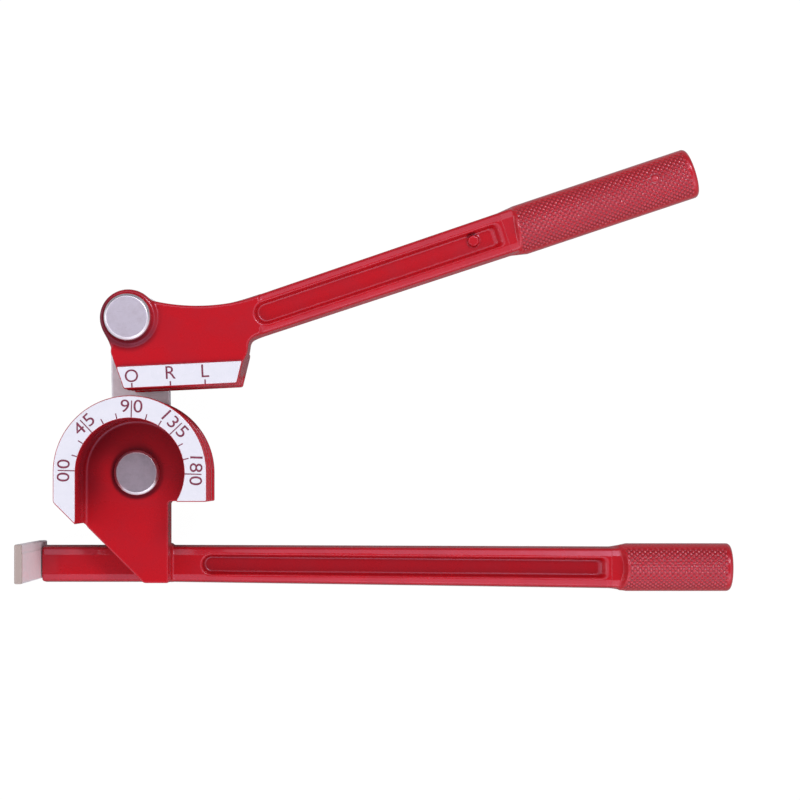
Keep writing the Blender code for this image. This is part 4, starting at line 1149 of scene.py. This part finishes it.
for bush_name, pin, body, low, high in (
    ("former_pin_bush", MAIN_PIN, "former", BAR_THICKNESS, WEB_LEVEL),
    ("lever_pin_rear_bush", LEVER_PIN, "lever", BAR_THICKNESS, BAR_THICKNESS + LEVER_BUSH_LENGTH),
    ("lever_pin_front_bush", LEVER_PIN, "lever", SCALE_LEVEL - LEVER_BUSH_LENGTH, SCALE_LEVEL),
):
    bush = washer_profile(bore_radius, bush_radius, low, high)
    turned_piece(bush_name, bush, TURNED_EDGE, pin, body, bronze_finish, "bush_bronze")


def wave_washer(name, pin):
    """A thin ring whose level rises by one less the cosine of three times the angle, halved."""
    section = washer_profile(bore_radius, WAVE_WASHER_DIAMETER / 2, WAVE_REAR, WAVE_REAR + WAVE_WASHER_THICKNESS)
    points, faces = lathe(rounded(section, WAVE_EDGE), 144)
    turn = np.arctan2(points[:, 1], points[:, 0])
    points[:, 2] += WAVE_HEIGHT * (1 - np.cos(WAVE_COUNT * turn)) / 2
    mesh = new_mesh(name, into_world(points, pin, 0), faces)
    return place(name, mesh, "link", spring_finish, "spring_steel", name)


def retaining_field(x, y, z):
    """Open ring: a ring less a wedge of angle, with an eared lug, a disc with a hole, at each end."""
    inner = ring_seat + SEAT_GAP
    outer = RING_DIAMETER / 2
    away = np.hypot(x, y)
    opening = np.abs(np.arctan2(x, y)) - RING_OPENING / 2
    ring = both(between(away, inner, outer), -opening * outer, STAMPED_EDGE)
    for side in (-1, 1):
        at = side * np.sin(RING_OPENING / 2) * outer, np.cos(RING_OPENING / 2) * outer
        lug = np.hypot(x - at[0], y - at[1])
        ring = without(either(ring, lug - RING_LUG_RADIUS, LUG_FILLET), lug - RING_LUG_HOLE, SHARP_EDGE)
    return both(ring, between(z, RING_REAR, RING_FRONT), STAMPED_EDGE)


def link_field(x, y, z):
    """Strip with round ends: all within half its width of the line between the pins, less a hole at each."""
    flat = np.hypot(x, y - np.clip(y, 0, LINK_LENGTH)) - LINK_WIDTH / 2
    for hole_y in (0, LINK_LENGTH):
        flat = without(flat, np.hypot(x, y - hole_y) - bore_radius, STAMPED_EDGE)
    return both(flat, between(z, LINK_REAR, LINK_FRONT), LINK_EDGE)


ring_reach = RING_DIAMETER / 2 + RING_LUG_RADIUS + 0.0005
ring_axes = (
    stations((-ring_reach, ring_reach, 0.00025)),
    stations((-ring_reach, ring_reach, 0.00025)),
    stations((RING_REAR - 0.0004, RING_FRONT + 0.0004, 0.0002)),
)
for pin_name, pin in (("former_pin", MAIN_PIN), ("lever_pin", LEVER_PIN)):
    wave_washer(f"{pin_name}_wave_washer", pin)
    ring_name = f"{pin_name}_retaining_ring"
    cast_piece(ring_name, retaining_field, ring_axes, pin, LINK_LEAN, "link", spring_finish, "spring_steel",
               ring_name)

half_link = LINK_WIDTH / 2 + 0.0010
link_axes = (
    stations((-half_link, half_link, FINE)),
    stations((-half_link, LINK_LENGTH + half_link, FINE)),
    stations((LINK_REAR - 0.0006, LINK_FRONT + 0.0006, LEVEL_FINE)),
)
cast_piece("link_plate", link_field, link_axes, MAIN_PIN, LINK_LEAN, "link", link_finish, "link_steel",
           "link_plate")


# Stop and its screws
STOP_NOTCH_FILLET = 0.0005
STOP_SIDE_EDGE = 0.0005
STOP_END_EDGE = 0.0006
SCREW_PLACES = [-STOP_INNER - STOP_THICKNESS + SCREW_EDGE + SCREW_PITCH * i for i in range(2)]
SINK_TAPER = 0.9
HEAD_TAPER = 0.905
CONE_SLOPE = 0.75


def stop_field(x, y, z):
    """Strip bent to an L: a corner with a rounded outside, less the same corner a thickness further in, with
    rounded edges and two countersunk holes in its leg.
    """
    outer = -STOP_INNER - STOP_THICKNESS
    bend = both(outer - x, -z, STOP_BEND_RADIUS)
    notch = both(-STOP_INNER - x, STOP_THICKNESS - z, STOP_NOTCH_FILLET)
    body = without(bend, notch, SHARP_EDGE)
    body = both(both(body, z - STOP_RISE, STOP_END_EDGE), x - outer - STOP_LEG, STOP_END_EDGE)
    sides = between(y, -STOP_DROP - STOP_WIDTH / 2, -STOP_DROP + STOP_WIDTH / 2)
    body = both(body, sides, STOP_SIDE_EDGE)
    leg_edge = np.minimum(y + BAR_NEAR_DROP - STOP_LEG_EDGE, x - outer - STOP_SHOULDER)
    body = both(body, leg_edge, STOP_END_EDGE)
    for screw_x in SCREW_PLACES:
        away = np.hypot(x - screw_x, y + STOP_DROP)
        cone = SCREW_HEAD_DIAMETER / 2 + SEAT_GAP - np.maximum(z - SEAT_GAP, 0) * SINK_TAPER
        radius = np.maximum(cone, SCREW_DIAMETER / 2 + SEAT_GAP)
        body = without(body, (away - radius) * CONE_SLOPE, SHARP_EDGE)
    return body


def screw_field(x, y, z):
    """Countersunk screw: a cone down to the shank's radius, less a plain slot."""
    away = np.hypot(x, y)
    cone = SCREW_HEAD_DIAMETER / 2 - (z - SEAT_GAP) * HEAD_TAPER
    radius = np.maximum(cone, SCREW_DIAMETER / 2)
    body = both((away - radius) * CONE_SLOPE, between(z, SEAT_GAP, SCREW_LENGTH), SHARP_EDGE)
    slot = np.maximum(np.abs(x) - SLOT_WIDTH / 2, z - SEAT_GAP - SLOT_DEPTH)
    return without(body, slot + 0 * y, SHARP_EDGE)


stop_low = -STOP_INNER - STOP_THICKNESS - 0.0008
stop_side = STOP_WIDTH / 2 + 0.0008
stop_axes = (
    stations((stop_low, stop_low + 0.0050, 0.00035), (stop_low + 0.0050, stop_low + STOP_LEG + 0.0016, 0.0005)),
    stations((-STOP_DROP - stop_side, -STOP_DROP + stop_side, 0.0004)),
    stations((-0.0008, 0.0040, 0.00035), (0.0040, STOP_RISE - 0.0010, 0.0008),
             (STOP_RISE - 0.0010, STOP_RISE + 0.0008, 0.0003)),
)
cast_piece("tube_stop", stop_field, stop_axes, MAIN_PIN, 0, "former", stop_finish, "stop_steel", "tube_stop")
screw_reach = SCREW_HEAD_DIAMETER / 2 + 0.0004
screw_axes = (
    stations((-screw_reach, screw_reach, 0.00025)),
    stations((-screw_reach, screw_reach, 0.00025)),
    stations((-0.0001, 0.0030, 0.00025), (0.0030, SCREW_LENGTH + 0.0006, 0.0006)),
)
for i, screw_x in enumerate(SCREW_PLACES, start=1):
    at = MAIN_PIN + np.array([screw_x, -STOP_DROP, 0])
    screw_name = f"tube_stop_screw_{i}"
    cast_piece(screw_name, screw_field, screw_axes, at, 0, "former", screw_finish, "screw_steel", screw_name)


# Scale marks
DIGIT_HEIGHT = 0.0044
DIGIT_GAP = 0.0005
DIGIT_WIDEN = 1.12
LETTER_HEIGHT = 0.0044
SCALE_TURN = np.radians(1.6)
MARK_RISE = 0.00005
MARK_WIDTH = 0.00038
RING_MIDDLE = 0.0229
MARK_START = 0.0002
LONG_TICK = 0.0058
SHORT_TICK = 0.0019
SHOE_TICK = 0.0015
SHOE_MARK_WIDTH = MARK_WIDTH * 1.3
LABELS = ((0, "0", "0"), (45, "4", "5"), (90, "9", "0"), (135, "13", "5"), (180, "18", "0"))
LETTERS = (("O", 0.0003, -0.0202), ("R", 0.0136, -0.0197), ("L", 0.0256, -0.0197))


def glyphs(text, height, align):
    """Outline letters as a thin solid, scaled to a height, with their middle on the X axis."""
    curve = bpy.data.curves.new("glyphs", "FONT")
    curve.body = text
    curve.align_x = align
    curve.extrude = 1.0
    curve.resolution_u = 6
    holder = bpy.data.objects.new("glyphs", curve)
    bpy.context.scene.collection.objects.link(holder)
    bpy.context.view_layer.update()
    graph = bpy.context.evaluated_depsgraph_get()
    mesh = bpy.data.meshes.new_from_object(holder.evaluated_get(graph))
    points = np.empty(len(mesh.vertices) * 3, np.float32)
    mesh.vertices.foreach_get("co", points)
    points = points.reshape(-1, 3).astype(float)
    faces = [tuple(p.vertices) for p in mesh.polygons]
    low, high = points[:, 1].min(), points[:, 1].max()
    scale = height / (high - low)
    points[:, 1] -= (low + high) / 2
    points[:, :2] *= scale
    points[:, 2] = np.where(points[:, 2] > 0, MARK_RISE, -MARK_RISE)
    bpy.data.objects.remove(holder)
    bpy.data.curves.remove(curve)
    bpy.data.meshes.remove(mesh)
    return points, faces


def stroke(start, end, width):
    """A straight mark as a thin bar between two points."""
    start, end = np.array(start), np.array(end)
    along = (end - start) / np.linalg.norm(end - start)
    side = np.array([-along[1], along[0]]) * width / 2
    flat = [start - side, end - side, end + side, start + side]
    points = np.array([(*corner, level) for level in (-MARK_RISE, MARK_RISE) for corner in flat])
    faces = [(3, 2, 1, 0), (4, 5, 6, 7)] + [(i, (i + 1) % 4, (i + 1) % 4 + 4, i + 4) for i in range(4)]
    return points, faces


def marks_piece(name, parts, pin, turn, body, slot):
    """Marks on a scale face, joined into one piece."""
    points, faces, count = [], [], 0
    for part_points, part_faces in parts:
        points.append(part_points)
        faces += [tuple(i + count for i in face) for face in part_faces]
        count += len(part_points)
    points = into_world(np.concatenate(points), pin, turn)
    points[:, 2] += SCALE_LEVEL
    mesh = bpy.data.meshes.new(name)
    mesh.from_pydata(points.tolist(), [], faces)
    mesh.update()
    return place(name, mesh, body, ink_finish, slot)


def on_ring(points, degrees):
    """Points of a label carried to its angle on the ring, with its top outwards."""
    turn = np.radians(90 - degrees) - SCALE_TURN
    x, y, z = points.T
    y = y + RING_MIDDLE
    return np.stack([x * np.cos(turn) - y * np.sin(turn), x * np.sin(turn) + y * np.cos(turn), z], axis=1)


numbers, ticks = [], []
for degrees, left, right in LABELS:
    for text, align, side in ((left, "RIGHT", -1), (right, "LEFT", 1)):
        points, faces = glyphs(text, DIGIT_HEIGHT, align)
        points[:, 0] = points[:, 0] * DIGIT_WIDEN + side * DIGIT_GAP
        numbers.append((on_ring(points, degrees), faces))
for degrees in range(0, 181, 15):
    reach = LONG_TICK if degrees % 45 == 0 else SHORT_TICK
    low = POCKET_RADIUS + MARK_START - RING_MIDDLE
    points, faces = stroke((0, low), (0, low + reach), MARK_WIDTH)
    ticks.append((on_ring(points, degrees), faces))
marks_piece("degree_numbers", numbers, MAIN_PIN, 0, "former", "red_enamel")
marks_piece("degree_ticks", ticks, MAIN_PIN, 0, "former", "red_enamel")

letters, letter_ticks = [], []
foot = MARK_START - SHOE_FACE
for text, x, y in LETTERS:
    points, faces = glyphs(text, LETTER_HEIGHT, "CENTER")
    letters.append((points + (x, y, 0), faces))
    letter_ticks.append(stroke((x, foot), (x, foot + SHOE_TICK), SHOE_MARK_WIDTH))
marks_piece("shoe_letters", letters, LEVER_PIN, SHOE_TILT, "lever", "red_enamel_lever")
marks_piece("shoe_ticks", letter_ticks, LEVER_PIN, SHOE_TILT, "lever", "red_enamel_lever")


# Floor, light and camera
FLOOR_HALF = 3.0
FLOOR_DROP = 0.0001
TOUCHING = 0.0006


def make_floor():
    """Wide matte white sheet under the tool, clear from below and to the faces that lie on it."""
    half = FLOOR_HALF
    points = [(x, y, -FLOOR_DROP) for x, y in ((-half, -half), (half, -half), (half, half), (-half, half))]
    mesh = bpy.data.meshes.new("floor")
    mesh.from_pydata(points, [], [(0, 1, 2, 3)])
    floor = bpy.data.objects.new("floor", mesh)
    bpy.context.scene.collection.objects.link(floor)
    surface, tree, shader = new_material("floor_white")
    shader.inputs["Base Color"].default_value = (0.32, 0.32, 0.32, 1)
    shader.inputs["Roughness"].default_value = 0.9
    shader.inputs["Specular IOR Level"].default_value = 0.1
    path = node(tree, "LightPath").outputs
    seen = maths(tree, "MULTIPLY", path["Is Camera Ray"], 0.88)
    glow = node(tree, "Emission", {"Color": (1, 1, 1, 1), "Strength": 1.12})
    lit = node(tree, "MixShader", {0: seen, 1: shader.outputs[0], 2: glow.outputs[0]})
    clear = node(tree, "BsdfTransparent")
    touching = maths(tree, "LESS_THAN", path["Ray Length"], TOUCHING)
    behind = maths(tree, "MAXIMUM", node(tree, "NewGeometry").outputs["Backfacing"], touching)
    mixed = node(tree, "MixShader", {0: behind, 1: lit.outputs[0], 2: clear.outputs[0]})
    tree.links.new(mixed.outputs[0], tree.nodes["Material Output"].inputs["Surface"])
    mesh.materials.append(surface)


def make_light(name, place_at, aim, size, power):
    """Soft rectangular light that points at a place."""
    lamp = bpy.data.lights.new(name, "AREA")
    lamp.shape = "RECTANGLE"
    lamp.size, lamp.size_y = size
    lamp.energy = power
    holder = bpy.data.objects.new(name, lamp)
    bpy.context.scene.collection.objects.link(holder)
    holder.location = place_at
    holder.rotation_euler = (Vector(aim) - Vector(place_at)).to_track_quat("-Z", "Y").to_euler()


def make_world():
    """Studio round the tool: a bright ring half-way up, bright cloths low in front, dim behind and overhead.

    The camera sees it white, and it lights the tool from below.
    """
    world = bpy.data.worlds.new("studio")
    world.use_nodes = True
    tree = world.node_tree
    back = tree.nodes["Background"]
    towards = node(tree, "SeparateXYZ", {"Vector": node(tree, "TexCoord").outputs["Generated"]}).outputs
    height = towards["Z"]
    low = ramp(tree, towards["Y"], -0.6, 0.6, 0.90, 0.20)
    raised = maths(tree, "SUBTRACT", 1.40, low)
    cloths = maths(tree, "ADD", low, maths(tree, "MULTIPLY", raised, ramp(tree, height, 0.45, 0.72)))
    lit = maths(tree, "MULTIPLY", cloths, ramp(tree, height, 0.80, 0.95, 1.0, 0.10))
    lit = maths(tree, "MAXIMUM", lit, ramp(tree, height, -0.02, -0.10, 0.0, 0.75))
    seen = node(tree, "LightPath").outputs["Is Camera Ray"]
    tree.links.new(maths(tree, "MAXIMUM", lit, seen), back.inputs["Strength"])
    back.inputs["Color"].default_value = (1.0, 0.96, 1.06, 1)
    bpy.context.scene.world = world


def make_camera():
    """Camera straight above, as the photograph was taken, with its centre a little off the tool's."""
    camera = bpy.data.cameras.new("camera")
    camera.sensor_width = 36
    camera.lens = 87.4
    camera.shift_x = 0.03375
    camera.shift_y = 0.1
    holder = bpy.data.objects.new("camera", camera)
    bpy.context.scene.collection.objects.link(holder)
    holder.location = (-0.00383, -0.03729, 0.7175)
    bpy.context.scene.camera = holder


make_floor()
make_world()
make_light("key", (0.45, 0.62, 1.10), (0, 0, 0), (0.30, 0.30), 4.6)
make_light("top_cloth", (0.10, 0.52, 1.20), (0.05, 0, 0), (1.40, 0.30), 1.2)
make_light("fill_below", (0.32, -0.85, 0.60), (0, 0, 0), (0.90, 0.40), 1.6)
make_light("fill_left", (-0.95, 0.10, 0.40), (-0.1, 0, 0), (0.50, 0.50), 1.5)
make_camera()
bpy.context.scene.view_settings.view_transform = "Standard"
